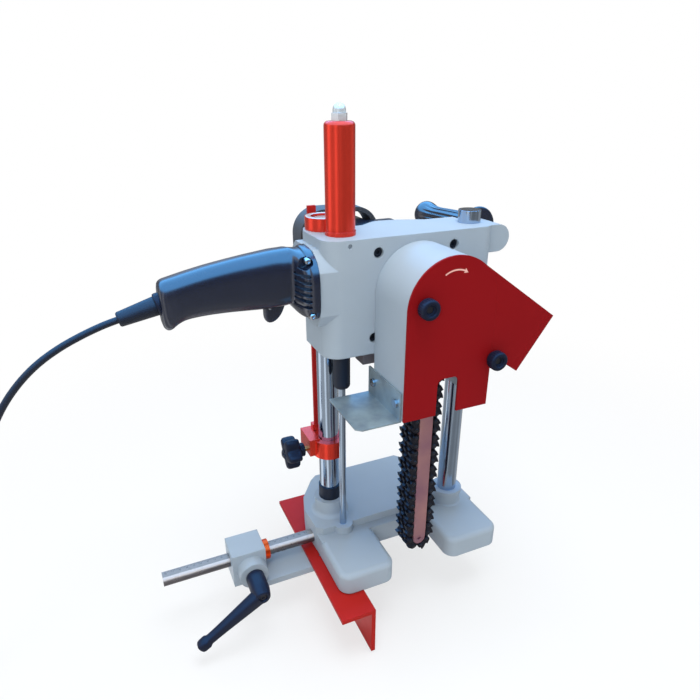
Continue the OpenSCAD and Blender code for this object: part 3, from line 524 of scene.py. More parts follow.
# The rear loop: a grey lighter than its black plastic, partly the loop's own grey and partly a painted
# reflection for the sheen on its left side.
LOOP_GREY_SHEEN = Finish(
    "loop_grey_sheen", "black_plastic", (0.060, 0.062, 0.066), (0.040, 0.043, 0.050), Texture.MOULDED,
    roughness=0.50, spread=0.05, patch=30, grain=2200, relief=0.025, gleam=0.3, edge=0.9,
)
# Near-black for the housing's screw heads, which paints the shade inside their holes.
SCREW_HOLE_SHADE = Finish(
    "screw_hole_shade", "bright_steel", (0.008, 0.009, 0.014), (0.014, 0.015, 0.02), Texture.OILED,
    metallic=0.3, roughness=0.45, grain=1200, relief=0.01, gleam=0.3, edge=0.4,
)


# Meshes


def clamped(value: float) -> float:
    """The value, held between 0 and 1."""
    return min(max(value, 0.0), 1.0)


def flutes(number: int, depth: float, low: float, high: float) -> Wave:
    """Equal hollows round a turned form.

    Args:
        number: How many there are.
        depth: How deep they are.
        low: Where they start.
        high: Where they end.

    Returns:
        What they add to the radius at an angle and height.
    """
    return lambda angle, height: -depth * max(0.0, math.cos(number * angle)) if low < height < high else 0.0


def squared(angle: float, power: float) -> tuple[float, float]:
    """A point on a squared-off circle of radius 1.

    Args:
        angle: Where it lies round the middle.
        power: 2 is a circle; more is squarer.

    Returns:
        Its two coordinates.
    """
    c, s = math.cos(angle), math.sin(angle)
    return math.copysign(abs(c) ** (2.0 / power), c), math.copysign(abs(s) ** (2.0 / power), s)


def superellipse(centre: Point, half_y: float, half_z: float, power: float, count: int) -> list[Point]:
    """Points round a squared-off ellipse that stands across X.

    Args:
        centre: Its middle.
        half_y: Half its width along Y.
        half_z: Half its height.
        power: 2 is an ellipse; more is squarer.
        count: The number of points.

    Returns:
        The points in order.
    """
    points = []
    for index in range(count):
        y, z = squared(TURN * index / count, power)
        points.append((centre[0], centre[1] + y * half_y, centre[2] + z * half_z))
    return points


def between(a: float, b: float, c: float, d: float, t: float) -> float:
    """A smooth curve's value between two of its values.

    Args:
        a: The value before them.
        b: The first of them.
        c: The second of them.
        d: The value after them.
        t: The share of the way from b to c.

    Returns:
        The value there.
    """
    bend = 2 * a - 5 * b + 4 * c - d
    twist = 3 * b - a - 3 * c + d
    return 0.5 * (2 * b + (c - a) * t + bend * t * t + twist * t ** 3)


def refined(rows: Sequence[Sequence[float]], steps: int) -> list[tuple[float, ...]]:
    """Runs a smooth curve through rows of numbers.

    Args:
        rows: The rows; each column is smoothed by itself.
        steps: Steps between two rows.

    Returns:
        The rows of the curve.
    """
    last = len(rows) - 1
    curve = []
    for i in range(last):
        near = (rows[max(i - 1, 0)], rows[i], rows[i + 1], rows[min(i + 2, last)])
        curve += [tuple(between(*column, k / steps) for column in zip(*near)) for k in range(steps)]
    return curve + [tuple(rows[last])]


class Mesh:
    """A mesh that is put together from rings, plates and turned forms, in millimetres."""

    def __init__(self) -> None:
        """Starts with nothing."""
        self.points: list[Point] = []
        self.faces: Faces = []

    def add(self, points: Iterable[Sequence[float]], faces: Faces) -> Mesh:
        """Adds points and the faces between them.

        Args:
            points: The new points.
            faces: Faces that count from the first new point.

        Returns:
            This mesh.
        """
        start = len(self.points)
        self.points.extend(tuple(p) for p in points)
        self.faces.extend(tuple(start + i for i in face) for face in faces)
        return self

    def join(self, other: Mesh) -> Mesh:
        """Adds all of another mesh."""
        return self.add(other.points, other.faces)

    def loft(self, rings: Sequence[Sequence[Sequence[float]]], loop: bool = False) -> Mesh:
        """Joins rings of equal count by a skin, closed at both ends unless it is a loop.

        Args:
            rings: The rings, in order.
            loop: Whether the last ring joins the first.

        Returns:
            This mesh.
        """
        count = len(rings[0])
        faces: Faces = []
        last = len(rings) if loop else len(rings) - 1
        for i in range(last):
            a, b = i * count, ((i + 1) % len(rings)) * count
            faces += [(a + k, a + (k + 1) % count, b + (k + 1) % count, b + k) for k in range(count)]
        if not loop:
            faces.append(tuple(reversed(range(count))))
            faces.append(tuple(range((len(rings) - 1) * count, len(rings) * count)))
        return self.add([p for ring in rings for p in ring], faces)

    def turned(self, profile: Profile, place: Matrix, count: int = 48, flute: Wave | None = None,
               loop: bool = False) -> Mesh:
        """Turns a profile about its own Z axis.

        Args:
            profile: Radius and height of each ring.
            place: Where the turned form goes.
            count: Points in each ring.
            flute: What is added to the radius at an angle and height.
            loop: Whether the profile closes on itself round a bore.

        Returns:
            This mesh.
        """
        rings = []
        for radius, height in profile:
            ring = []
            for k in range(count):
                angle = TURN * k / count
                r = max(radius + (flute(angle, height) if flute else 0.0), 0.01)
                ring.append(place @ Vector((r * math.cos(angle), r * math.sin(angle), height)))
            rings.append(ring)
        return self.loft(rings, loop=loop)

    def tube(self, path: Sequence[Vector], radius: Callable[[float], float], count: int = 12,
             power: float = 2.0) -> Mesh:
        """Sweeps a round or squared section along a path.

        Args:
            path: The points of the centre line.
            radius: The radius at a share of the path from 0 to 1.
            count: Points in each ring.
            power: 2 is round; more is squarer.

        Returns:
            This mesh.
        """
        rings = []
        for i, point in enumerate(path):
            along = (path[min(i + 1, len(path) - 1)] - path[max(i - 1, 0)]).normalized()
            level = Vector((0, 0, 1)).cross(along)
            side = (level if level.length > 0.05 else Vector((0, 1, 0))).normalized()
            up = along.cross(side).normalized()
            r = radius(i / (len(path) - 1))
            ring = superellipse((0.0, 0.0, 0.0), r, r, power, count)
            rings.append([point + y * side + z * up for _, y, z in ring])
        return self.loft(rings)

    def plate(self, outline: Profile, low: float, high: float,
              lift: Callable[[float, float, float], Sequence[float]]) -> Mesh:
        """Extrudes an outline.

        Args:
            outline: Its corners.
            low: Where it starts.
            high: Where it ends.
            lift: Turns a corner and a height into a point.

        Returns:
            This mesh.
        """
        return self.loft([[lift(a, b, low) for a, b in outline], [lift(a, b, high) for a, b in outline]])

    def data(self, name: str) -> bpy.types.Mesh:
        """Makes Blender's mesh of it, in metres.

        Args:
            name: The mesh's name.

        Returns:
            The mesh.
        """
        made = bpy.data.meshes.new(name)
        made.from_pydata([(x * MM, y * MM, z * MM) for x, y, z in self.points], [], self.faces)
        return made


@dataclass
class SubAssembly:
    """A group of pieces that ride on one body.

    Attributes:
        body: The CAD body that they move with.
        dressed: The finish of each CAD node that is shown as it is.
    """

    body: str = "base"
    dressed: dict[str, Finish] = field(default_factory=dict)

    def dress(self, crease: float = 32.0) -> None:
        """Gives the group's CAD nodes their finishes and smooth curved faces.

        Args:
            crease: The bend in degrees above which an edge stays sharp.
        """
        for node, finish in self.dressed.items():
            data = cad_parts[node].data
            data.materials.clear()
            data.materials.append(finish.material())
            self.smooth(data, crease)
            LOG.info("dressed %s in %s", node, finish.name)

    @staticmethod
    def smooth(data: bpy.types.Mesh, crease: float) -> None:
        """Smooths the faces and keeps the edges sharp that bend by more than the crease, in degrees."""
        data.polygons.foreach_set("use_smooth", [True] * len(data.polygons))
        data.set_sharp_from_angle(angle=math.radians(crease))

    def piece(self, name: str, mesh: Mesh, finish: Finish, replaces: Sequence[str] = (), levels: int = 0,
              crease: float = 40.0, ride: bool = True) -> bpy.types.Object:
        """Makes one object of a mesh.

        Args:
            name: The piece's name.
            mesh: Its points and faces.
            finish: Its finish.
            replaces: The CAD nodes that it stands for.
            levels: Levels of subdivision.
            crease: The angle, in degrees, above which an edge stays sharp.
            ride: Whether it rides on the group's body at once.

        Returns:
            The object.
        """
        data = mesh.data(name)
        data.validate()
        data.update()
        data.materials.append(finish.material())
        self.smooth(data, crease)
        thing = bpy.data.objects.new(name, data)
        bpy.context.scene.collection.objects.link(thing)
        if levels:
            rounding = thing.modifiers.new("rounding", "SUBSURF")
            rounding.levels = levels
            rounding.render_levels = levels
        if replaces:
            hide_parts(*replaces)
        if ride:
            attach(thing, self.body)
        LOG.info("made %s", name)
        return thing

    @staticmethod
    def carve(thing: bpy.types.Object, cutter: Mesh) -> None:
        """Cuts a mesh away from a piece for good.

        Args:
            thing: The piece.
            cutter: The closed forms that are taken away.
        """
        data = cutter.data("cutter")
        outward = bmesh.new()
        outward.from_mesh(data)
        bmesh.ops.recalc_face_normals(outward, faces=outward.faces)
        outward.to_mesh(data)
        outward.free()
        tool = bpy.data.objects.new("cutter", data)
        bpy.context.scene.collection.objects.link(tool)
        cut = thing.modifiers.new("cut", "BOOLEAN")
        cut.operation = "DIFFERENCE"
        cut.solver = "EXACT"
        cut.use_self = True
        cut.object = tool
        bpy.context.view_layer.update()
        shown = thing.evaluated_get(bpy.context.evaluated_depsgraph_get())
        carved = bpy.data.meshes.new_from_object(shown)
        thing.modifiers.remove(cut)
        thing.data = carved
        bpy.data.objects.remove(tool)
        bpy.data.meshes.remove(data)

    def build(self) -> None:
        """Makes the group's pieces; a group with none only dresses its nodes."""


# Cord


@dataclass
class PowerCord(SubAssembly):
    """The lead: a free stretch to the floor, a coil and a plug.

    Attributes:
        diameter: The cord's diameter.
        step: Distance between two turns that lie side by side.
        climb: Distance between the two layers of turns.
        floor: Height of the floor.
        coil_centre: Middle of the coil in X and Y.
        inner: Radius of the inner turn.
        turns: Turns in each layer.
        boot_length: Length of the boot.
        plug_radius: Radius of the plug.
        plug_away: How far the cord runs on to the left from the coil to the plug.
        tail_bends: Where it bends on the way, as distances to the left of the coil and right of the plug.
    """

    diameter: float = 8.0
    step: float = 9.2
    climb: float = 8.8
    floor: float = -84.0
    coil_centre: tuple[float, float] = (-730.0, 60.0)
    inner: float = 35.0
    turns: int = 3
    boot_length: float = 48.0
    plug_radius: float = 18.0
    plug_away: float = 34.0
    tail_bends: tuple[float, float] = (13.0, 9.0)

    def route(self) -> list[Vector]:
        """The points that the free stretch follows.

        Returns:
            The points from the boot to the coil.
        """
        rest = self.floor + self.diameter / 2
        across = self.coil_centre[1] - self.inner - self.turns * self.step
        bends = [
            (-372, -25, 407), (-395, -25, 399), (-420, -25, 388), (-445, -25, 373), (-468, -24, 353),
            (-489, -23, 328), (-507, -22, 298), (-522, -20, 263), (-534, -18, 224), (-545, -16, 182),
            (-555, -14, 138), (-564, -12, 94), (-573, -10, 50), (-583, -8, 8), (-595, -6, -28),
            (-611, -4, -56), (-632, -3, -73), (-658, -2, rest), (-690, -2, rest),
            (self.coil_centre[0], across, rest),
        ]
        return [BOOT_MOUTH + self.boot_length * BOOT_WAY] + [Vector(p) for p in bends]

    def coil(self) -> list[Vector]:
        """The coil's centre line, in on the floor and out one layer up.

        Returns:
            Its points, from the outer turn below to the outer turn above.
        """
        each = 24
        half = self.turns * each
        path = []
        for k in range(2 * half + 1):
            radius = self.inner + self.step * abs(k - half) / each
            share = clamped((k - half + each / 4) / (each / 2))
            angle = TURN * k / each
            path.append(Vector((
                self.coil_centre[0] - radius * math.sin(angle),
                self.coil_centre[1] - radius * math.cos(angle),
                self.floor + self.diameter / 2 + self.climb * share,
            )))
        return path

    def plug_seat(self) -> Vector:
        """Where the cord enters the plug."""
        last = self.coil()[-1]
        return Vector((last.x - self.plug_away, last.y, self.floor + self.plug_radius))

    def build(self) -> None:
        """Makes the cord, its boot and its plug."""
        seat = self.plug_seat()
        coil = self.coil()
        out, back = self.tail_bends
        tail = [coil[-1] + Vector((-out, 0.0, 2.0)), seat + Vector((back, 0.0, 0.0)), seat]
        line = [Vector(p) for p in refined(self.route(), 6)] + coil[1:] + tail
        body = Mesh().tube(line, lambda share: self.diameter / 2, 14)
        lead = self.piece("power_lead", body, BLACK_RUBBER, ["power_cord", "cord_coil"], ride=False)
        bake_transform(lead)
        plug = self.make_plug(seat)
        self.make_boot()

    def make_plug(self, seat: Vector) -> bpy.types.Object:
        """Makes the plug with its ribbed neck and two pins.

        Args:
            seat: Where the cord enters it.

        Returns:
            The plug.
        """
        place = placed(seat, LEFT)
        wide = self.plug_radius
        profile = [
            (4.6, 0.0), (5.6, 1.0), (5.8, 4.0), (5.0, 4.6), (5.2, 5.6), (6.4, 6.2), (6.5, 9.0), (5.7, 9.6),
            (5.9, 10.6), (7.4, 11.2), (8.0, 15.0), (9.4, 17.0), (14.5, 19.5), (wide - 0.8, 22.0),
            (wide, 25.0), (wide, 34.2), (wide - 0.8, 35.6), (wide - 2.4, 36.0), (0.4, 36.0),
        ]
        body = Mesh().turned(profile, place, 48, flutes(6, 1.1, 23.0, 33.0))
        for side in (-9.5, 9.5):
            pin = place @ Matrix.Translation((0.0, side, 0.0))
            body.turned([(2.4, 36.0), (2.4, 53.0), (1.9, 54.6), (0.6, 55.0)], pin, 20)
        return self.piece("plug_body", body, BLACK_RUBBER, ["plug"])

    def make_boot(self) -> None:
        """Makes the smooth tapered sleeve that guards the cord at the handle."""
        profile = [(4.2, -3.0), (11.4, -3.0), (11.5, 1.4), (11.1, 2.0), (11.1, 2.8), (11.4, 3.4)]
        profile += [(11.4 - 0.3 * k, 3.4 + 4.9 * k) for k in range(1, 9)]
        profile += [(8.9, 45.0), (8.5, 47.0), (7.4, self.boot_length), (4.1, self.boot_length)]
        boot = Mesh().turned(profile, placed(BOOT_MOUTH, BOOT_WAY), 40)
        SubAssembly("head").piece("boot_sleeve", boot, BLACK_RUBBER, ["cord_boot"])


# Moulded grips


@dataclass
class TriggerHandle(SubAssembly):
    """The left handle with its trigger, vents and the broad neck at the housing.

    Attributes:
        middle: Y of its middle plane.
        height: Z of the neck's middle.
        wide: Half the neck's width.
        tall: Half the neck's height.
        slope: How much the neck's far shoulder drops for each millimetre outwards.
        points: Points round each section.
        screws: Z and Y of each screw head.
        screw_x: X of the screws.
        screw_bore: Radius of the hole round each screw head.
        scoop: The middle of the round hollow beside the upper screw.
        vents: Air slots on each side.
        vent_top: Z of the highest slot's left end.
        vent_pitch: Distance between slots.
        vent_left: X of their left ends.
        vent_reach: Length of a slot.
        vent_lean: How much a slot drops for each millimetre to the right.
        vent_half: Half the height of a slot.
        vent_round: Half a slot's length in eighths, a little over 4 so that its ends stay open.
        wall: Thickness of the shell at the slots.
        beyond: A distance from the middle plane that lies outside the shell.
        slot: Left, right, lower and upper bound of the trigger's slot.
        pivot: X and Z of the trigger's pin.
        trigger_half: Half the thickness of the trigger.
        collar_depth: How far behind the boot's mouth the lip starts.
    """

    body: str = "head"
    middle: float = -25.0
    height: float = 433.0
    wide: float = 54.4
    tall: float = 42.5
    slope: float = 0.42
    points: int = 96
    screws: tuple[tuple[float, float], ...] = ((464.0, -65.5), (400.0, -76.5))
    screw_x: float = -141.5
    screw_bore: float = 4.9
    scoop: Point = (-147.5, -57.0, 463.0)
    vents: int = 6
    vent_top: float = 449.26
    vent_pitch: float = 7.4
    vent_left: float = -154.6
    vent_reach: float = 13.0
    vent_lean: float = 0.10
    vent_half: float = 2.1
    vent_round: float = 4.15
    wall: float = 5.0
    beyond: float = 80.0
    slot: tuple[float, float, float, float] = (-191.5, -156.5, 380.0, 421.0)
    pivot: tuple[float, float] = (-181.0, 402.0)
    trigger_half: float = 6.4
    collar_depth: float = 4.12

    def stations(self) -> list[tuple[float, ...]]:
        """X, top, bottom, half width, squareness and share of the neck's form in each section."""
        return [
            (-142.2, 474.2, 404.0, 27.0, 2.5, 1.0), (-145.6, 474.1, 404.0, 26.4, 2.5, 0.95),
            (-149.0, 474.0, 404.0, 25.8, 2.5, 0.74), (-152.0, 473.9, 404.0, 25.3, 2.5, 0.34),
            (-154.6, 473.8, 404.0, 24.9, 2.5, 0.08), (-158.0, 473.6, 403.8, 24.6, 2.8, 0.0),
            (-164.0, 473.3, 402.8, 24.3, 2.8, 0.0),
            (-176.0, 472.6, 402.1, 23.6, 3.0, 0.0), (-192.0, 470.8, 402.4, 22.8, 3.0, 0.0),
            (-210.0, 468.6, 403.2, 21.9, 3.0, 0.0), (-232.0, 465.4, 404.2, 21.2, 3.0, 0.0),
            (-254.0, 461.8, 404.4, 20.9, 3.0, 0.0), (-272.0, 458.2, 403.6, 20.8, 3.0, 0.0),
            (-283.0, 455.8, 402.0, 20.8, 3.0, 0.0), (-290.0, 454.2, 399.2, 20.8, 3.0, 0.0),
            (-294.5, 453.2, 396.4, 20.6, 3.0, 0.0), (-298.5, 452.3, 393.6, 20.4, 3.0, 0.0),
            (-302.5, 451.3, 392.6, 20.0, 3.0, 0.0), (-305.6, 449.9, 393.8, 19.0, 2.8, 0.0),
            (-307.8, 447.4, 397.0, 17.0, 2.8, 0.0), (-309.0, 443.5, 402.0, 13.5, 2.4, 0.0),
        ]

    def neck(self, x: float, inset: float) -> list[Point]:
        """One section of the neck, round above and squared below.

        Args:
            x: Where it stands.
            inset: How far it lies inside the full form.

        Returns:
            The points in order.
        """
        ring = []
        for k in range(self.points):
            angle = TURN * k / self.points
            rise = max(math.sin(angle), 0.0)
            y, z = squared(angle, 2.6 if math.sin(angle) >= 0.0 else 5.0)
            y *= self.wide - inset
            z *= self.tall - inset
            ring.append((x, self.middle + y, self.height + z - self.slope * max(y, 0.0) * rise))
        return ring

    def build(self) -> None:
        """Makes the shell with its slots and bores, the collar, the screws and the trigger."""
        rim = [(-132.0, 0.0), (-138.0, 0.0), (-140.0, 0.3), (-141.2, 1.1), (-141.8, 2.2)]
        rings = [self.neck(x, inset) for x, inset in rim]
        for x, top, low, half, power, share in refined(self.stations(), 4):
            slim = superellipse((x, self.middle, (top + low) / 2), half, (top - low) / 2, power, self.points)
            rings.append([
                (x, y + clamped(share) * (wide_y - y), z + clamped(share) * (wide_z - z))
                for (_, y, z), (_, wide_y, wide_z) in zip(slim, self.neck(x, 2.6))
            ])
        shell = Mesh().loft(rings)
        skin = BVHTree.FromPolygons([Vector(p) for p in shell.points], shell.faces)
        thing = self.piece("handle_shell", shell, SATIN_BLACK, ["trigger_handle"])
        self.carve(thing, self.hollows(skin))
        self.make_collar()
        self.make_screws()
        self.make_trigger()

    def hollows(self, skin: BVHTree) -> Mesh:
        """The vents, screw bores, trigger slot and boot seat.

        Args:
            skin: The uncut shell.

        Returns:
            The closed forms to cut away.
        """
        cutter = Mesh()
        for side in (-1.0, 1.0):
            for index in range(self.vents):
                cutter.join(self.vent(skin, side, self.vent_top - self.vent_pitch * index))
        bore = [(self.screw_bore, 0.0), (self.screw_bore, 40.0)]
        for (z, y), deep in zip(self.screws, (4.0, 2.2)):
            cutter.turned(bore, placed((self.screw_x, y + deep, z), FORWARD), 32)
        cutter.turned([(7.8, 0.0), (8.6, 40.0)], placed(self.scoop, FORWARD), 40)
        left, right, low, high = self.slot
        room = self.trigger_half + 1.0
        slot = [(left, low), (right, low), (right, high), (left, high)]
        cutter.plate(slot, self.middle - room, self.middle + room, lambda a, b, y: (a, y, b))
        return cutter.turned([(11.8, -3.4), (11.8, 12.0)], placed(BOOT_MOUTH, BOOT_WAY), 40)

    def vent(self, skin: BVHTree, side: float, height: float) -> Mesh:
        """One air slot, as deep as the wall all along.

        Args:
            skin: The uncut shell.
            side: -1 for the front, 1 for the back.
            height: Z of the slot's left end.

        Returns:
            The slot's closed form.
        """
        upper, lower, outside, floor = [], [], [], []
        for k in range(9):
            x = self.vent_left + self.vent_reach * k / 8
            z = height - self.vent_lean * (x - self.vent_left)
            half = self.vent_half * math.sqrt(max(1.0 - ((k - 4) / self.vent_round) ** 6, 0.05))
            upper.append((x, z + half))
            lower.append((x, z - half))
        for x, z in lower + upper[::-1]:
            hit = skin.ray_cast(Vector((x, self.middle - self.beyond, z)), -Vector(FORWARD))[0]
            outside.append((x, self.middle + side * self.beyond, z))
            floor.append((x, self.middle + side * (self.middle - hit.y - self.wall), z))
        return Mesh().loft([outside, floor])

    def make_collar(self) -> None:
        """Makes the round lip from which the cord's sleeve comes."""
        profile = [(11.9, 0), (13.8, 0.5), (14.0, 5.2), (13.6, 7.2), (12.6, 8.0), (11.9, 7.8), (11.7, 5.0)]
        lip = Mesh().turned(profile, placed(BOOT_MOUTH - self.collar_depth * BOOT_WAY, BOOT_WAY))
        self.piece("handle_collar", lip, BLACK_PLASTIC)

    def make_screws(self) -> None:
        """Makes the two shell screws with their crossed drives, and the trigger's pin."""
        profile = [
            (3.0, -6.0), (3.8, -6.0), (3.9, 0.0), (3.5, 1.1), (2.6, 1.7), (1.9, 1.8), (0.8, 1.35), (0.4, 0.2),
        ]
        heads = Mesh()
        for z, y in self.screws:
            heads.turned(profile, placed((self.screw_x, y, z), FORWARD), 32, flutes(4, -0.9, 1.3, 1.4))
        self.piece("handle_screw_heads", heads, BRIGHT_STEEL, ["handle_screws"])
        pin = Mesh()
        for side in (-1.0, 1.0):
            place = placed((self.pivot[0], self.middle, self.pivot[1]), (0.0, side, 0.0))
            pin.turned([(1.9, 0.0), (1.9, 7.4), (1.5, 8.0), (0.5, 8.2)], place, 20)
        self.piece("trigger_pivot", pin, BRIGHT_STEEL, ["trigger_pin"])

    def make_trigger(self) -> None:
        """Makes the rocking trigger under the handle."""
        outline = [
            (-187.0, 409.0), (-187.0, 399.0), (-187.4, 390.0), (-186.4, 384.6), (-182.6, 382.2),
            (-177.6, 382.4), (-171.8, 385.4), (-166.6, 391.0), (-163.0, 397.6), (-160.6, 404.0),
            (-158.8, 411.0),
        ]
        heart_x, heart_z = -177.0, 400.0
        half = [(3.0, 0.0), (self.trigger_half - 1.0, 0.021), (self.trigger_half, 0.084)]
        sections = [(-y, drawn) for y, drawn in reversed(half)] + half
        blade = Mesh().loft([
            [(x + (heart_x - x) * drawn, self.middle + y, z + (heart_z - z) * drawn) for x, z in outline]
            for y, drawn in sections
        ])
        SubAssembly("trigger").piece("trigger_blade", blade, SATIN_BLACK, ["trigger"], levels=1, crease=70)


@dataclass
class SideHandle(SubAssembly):
    """The grip that stands off the right-hand lug.

    Attributes:
        seat: Where its flange meets the lug.
        tilt: Its droop in degrees.
        ribs: Number of hollows between its ribs.
        hollow: How deep they are.
    """

    body: str = "head"
    seat: Point = (132.0, -13.5, 471.5)
    tilt: float = 2.4
    ribs: int = 12
    hollow: float = 1.7

    def build(self) -> None:
        """Makes the fluted grip with its flange and flared end."""
        tilt = math.radians(self.tilt)
        place = placed(self.seat, (0.0, math.cos(tilt), -math.sin(tilt)))
        profile = [
            (5.0, 1.5), (25.6, 1.5), (26.8, 2.4), (27.0, 4.4), (26.4, 6.6), (24.0, 7.6), (19.5, 8.6),
            (16.8, 11.0), (15.5, 15.0), (15.0, 20.0), (15.1, 26.0), (15.5, 50.0), (15.3, 72.0), (14.6, 94.0),
            (14.4, 108.0), (15.0, 118.0), (16.6, 127.0), (18.6, 134.0), (19.8, 140.0), (19.9, 144.5),
            (18.9, 148.4), (15.6, 150.8), (9.0, 152.0), (0.4, 152.0),
        ]

        def ribbing(angle: float, height: float) -> float:
            """How deep a lengthwise hollow is at an angle and height; it runs out at both ends."""
            share = clamped((height - 16.0) / 10.0) * clamped((131.0 - height) / 12.0)
            return -self.hollow * share * max(0.0, math.cos(self.ribs * angle)) ** 0.7

        grip = Mesh().turned(profile, place, 96, ribbing)
        self.piece("side_grip_fluted", grip, SATIN_BLACK, ["side_grip"], levels=1, crease=75)


# Knobs and lever


@dataclass
class CoverKnob(SubAssembly):
    """A knob on the red cover, flat in front with a round recess; its CAD node has its body's name."""

    def build(self) -> None:
        """Makes the knob with its fine grip flutes and stepped recess."""
        room = Extent.of(self.body)
        place = placed((room.middle.x, room.high.y, room.middle.z), FORWARD)
        profile = [
            (4.2, 0.0), (9.0, 0.0), (9.4, 0.5), (9.4, 2.6), (11.2, 3.2), (12.1, 4.2), (12.25, 6.0),
            (12.2, 12.2), (11.7, 13.9), (10.7, 14.8), (9.4, 15.0), (7.4, 15.0), (6.9, 14.6), (6.5, 13.8),
            (6.4, 12.2), (5.0, 12.0), (4.4, 11.6), (4.25, 10.0), (4.2, 5.0),
        ]
        knob = Mesh().turned(profile, place, 144, flutes(24, 0.45, 4.0, 13.0))
        self.piece(f"{self.body}_fluted", knob, BLACK_PLASTIC, [self.body])


@dataclass
class StarKnob(SubAssembly):
    """The five-lobed knob of the depth stop.

    Attributes:
        lobes: Number of lobes.
        swing: How far the lobes and the hollows between them depart from round.
        shrink: How far the middle of that swing lies inside the profile.
        hub: Height of the round hub under the lobes.
    """

    body: str = "stop_knob"
    lobes: int = 5
    swing: float = 4.4
    shrink: float = 3.6
    hub: float = 7.5

    def build(self) -> None:
        """Makes the hub and the lobed head."""
        room = Extent.of("star_knob")
        place = placed((room.high.x, Extent.of("stop_screw").middle.y, room.middle.z), LEFT)

        def rim(angle: float, height: float) -> float:
            """How far the rim stands out at an angle and height."""
            share = clamped((height - self.hub) / 2.0)
            return (self.swing * math.cos(self.lobes * angle) - self.shrink) * share

        profile = [
            (4.0, 0.0), (9.4, 0.0), (10.2, 0.8), (10.4, 5.0), (11.0, 7.5), (17.0, 8.6), (22.0, 9.4),
            (23.6, 11.0), (24.2, 14.0), (24.2, 24.0), (23.4, 27.4), (21.0, 29.3), (17.0, 29.9), (9.0, 30.0),
            (8.6, 29.2), (0.3, 29.2),
        ]
        self.piece("star_knob_head", Mesh().turned(profile, place, 100, rim), BLACK_PLASTIC, ["star_knob"])


@dataclass
class ClampLever(SubAssembly):
    """The fence's clamping lever.

    Attributes:
        slope: The arm's slope under the horizontal, in degrees.
        arm_out: How far forward the arm leaves the hub.
        recess: How far forward the floor of the hub's recess lies.
    """

    body: str = "clamp_lever"
    slope: float = 33.7
    arm_out: float = 35.7
    recess: float = 41.4

    def build(self) -> None:
        """Makes the barrel hub with its screw and the tapered arm with its squared end."""
        stud = Extent.of("clamp_stud").middle
        pivot = Vector((stud.x, Extent.of("clamp_lever").high.y, stud.z))
        profile = [
            (5.2, 0.0), (12.2, 0.0), (13.0, 0.8), (13.5, 5.0), (13.5, 27.0), (13.1, 31.5), (12.3, 36.0),
            (11.3, 40.5), (10.7, 42.9), (9.7, 44.3), (8.4, 44.7), (6.2, 44.7), (5.8, 44.2),
            (5.6, self.recess), (0.3, self.recess),
        ]
        hub = Mesh().turned(profile, placed(pivot, FORWARD), 64)
        self.piece("lever_hub", hub, BLACK_PLASTIC, ["clamp_lever"])
        slope = math.radians(self.slope)
        way = Vector((-math.cos(slope), 0.0, -math.sin(slope)))
        start = pivot + self.arm_out * Vector(FORWARD)
        steps = [
            (5.0, 10.2), (20.0, 9.6), (40.0, 8.6), (60.0, 7.6), (80.0, 6.8), (93.0, 6.5), (95.5, 7.0),
            (97.0, 8.0), (98.5, 8.4), (107.0, 8.2), (109.6, 7.4), (111.0, 6.0), (111.8, 3.8),
        ]
        path = [start + way * reach for reach, _ in steps]
        arm = Mesh().tube(path, lambda share: steps[round(share * (len(steps) - 1))][1], 32, 2.9)
        self.piece("lever_arm", arm, BLACK_PLASTIC, crease=50)
        head = [(5.1, 0.0), (5.1, 1.2), (4.7, 1.7), (2.4, 1.7), (2.2, 0.4), (0.3, 0.4)]
        screw = Mesh().turned(head, placed(pivot + self.recess * Vector(FORWARD), FORWARD), 32)
        self.piece("lever_screw", screw, DARK_CHAIN)


# Spring, chain and cover


@dataclass
class ReturnSpring(SubAssembly):
    """The spring inside the red tube; on the machine it closes up as the head goes down.

    Attributes:
        travel: How much shorter it gets; not used.
        radius: Radius of the coils' middle line.
        wire: The wire's radius.
        turns: Number of turns.
    """

    travel: float = 150.0
    radius: float = 12.4
    wire: float = 1.2
    turns: int = 28

    def build(self) -> None:
        """Makes the coil."""
        room = Extent.of("return_spring")
        length = room.high.z - room.low.z
        foot = Vector((room.middle.x, room.middle.y, room.low.z))
        count = self.turns * 20
        path = []
        for k in range(count + 1):
            angle = TURN * self.turns * k / count
            height = self.wire + (length - 2.0 * self.wire) * k / count
            path.append(foot + Vector((self.radius * math.cos(angle), self.radius * math.sin(angle), height)))
        wire = Mesh().tube(path, lambda share: self.wire, 8)
        coil = self.piece("return_spring_coil", wire, BRIGHT_STEEL, ["return_spring"])
        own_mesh(coil)


@dataclass
class ChainLoop(SubAssembly):
    """The rivet heads on the mortise chain.

    Attributes:
        pitch: Distance between rivets.
        links: Number of links.
        teeth: Teeth of the sprocket.
    """

    body: str = "head"
    pitch: float = 12.7
    links: int = 66
    teeth: int = 7

    def rivets(self) -> Profile:
        """The rivets' places round the loop.

        Returns:
            X and Z of each rivet.
        """
        half = self.teeth / 2
        run = (self.links - self.teeth) / 2
        radius = self.pitch / (2 * math.sin(math.pi / self.teeth))
        top = Extent.of("sprocket").middle.z
        nose = top - run * self.pitch
        spots = []
        for s in range(self.links):
            if s < run:
                spots.append((radius, top - s * self.pitch))
            elif s < run + half:
                angle = (s - run) * math.pi / half
                spots.append((radius * math.cos(angle), nose - radius * math.sin(angle)))
            elif s < 2 * run + half:
                spots.append((-radius, nose + (s - run - half) * self.pitch))
            else:
                angle = (s - 2 * run - half) * math.pi / half
                spots.append((-radius * math.cos(angle), top + radius * math.sin(angle)))
        return spots

    def build(self) -> None:
        """Makes the domed rivet heads on both faces."""
        chain = Extent.of("mortise_chain")
        heads = Mesh()
        for x, z in self.rivets():
            for face, way in ((chain.low.y, -1.0), (chain.high.y, 1.0)):
                place = placed((x, face, z), (0.0, way, 0.0))
                heads.turned([(2.5, -0.2), (2.5, 0.35), (1.9, 0.75), (0.5, 0.9)], place, 14)
        self.piece("chain_rivets", heads, RIVET_STEEL)


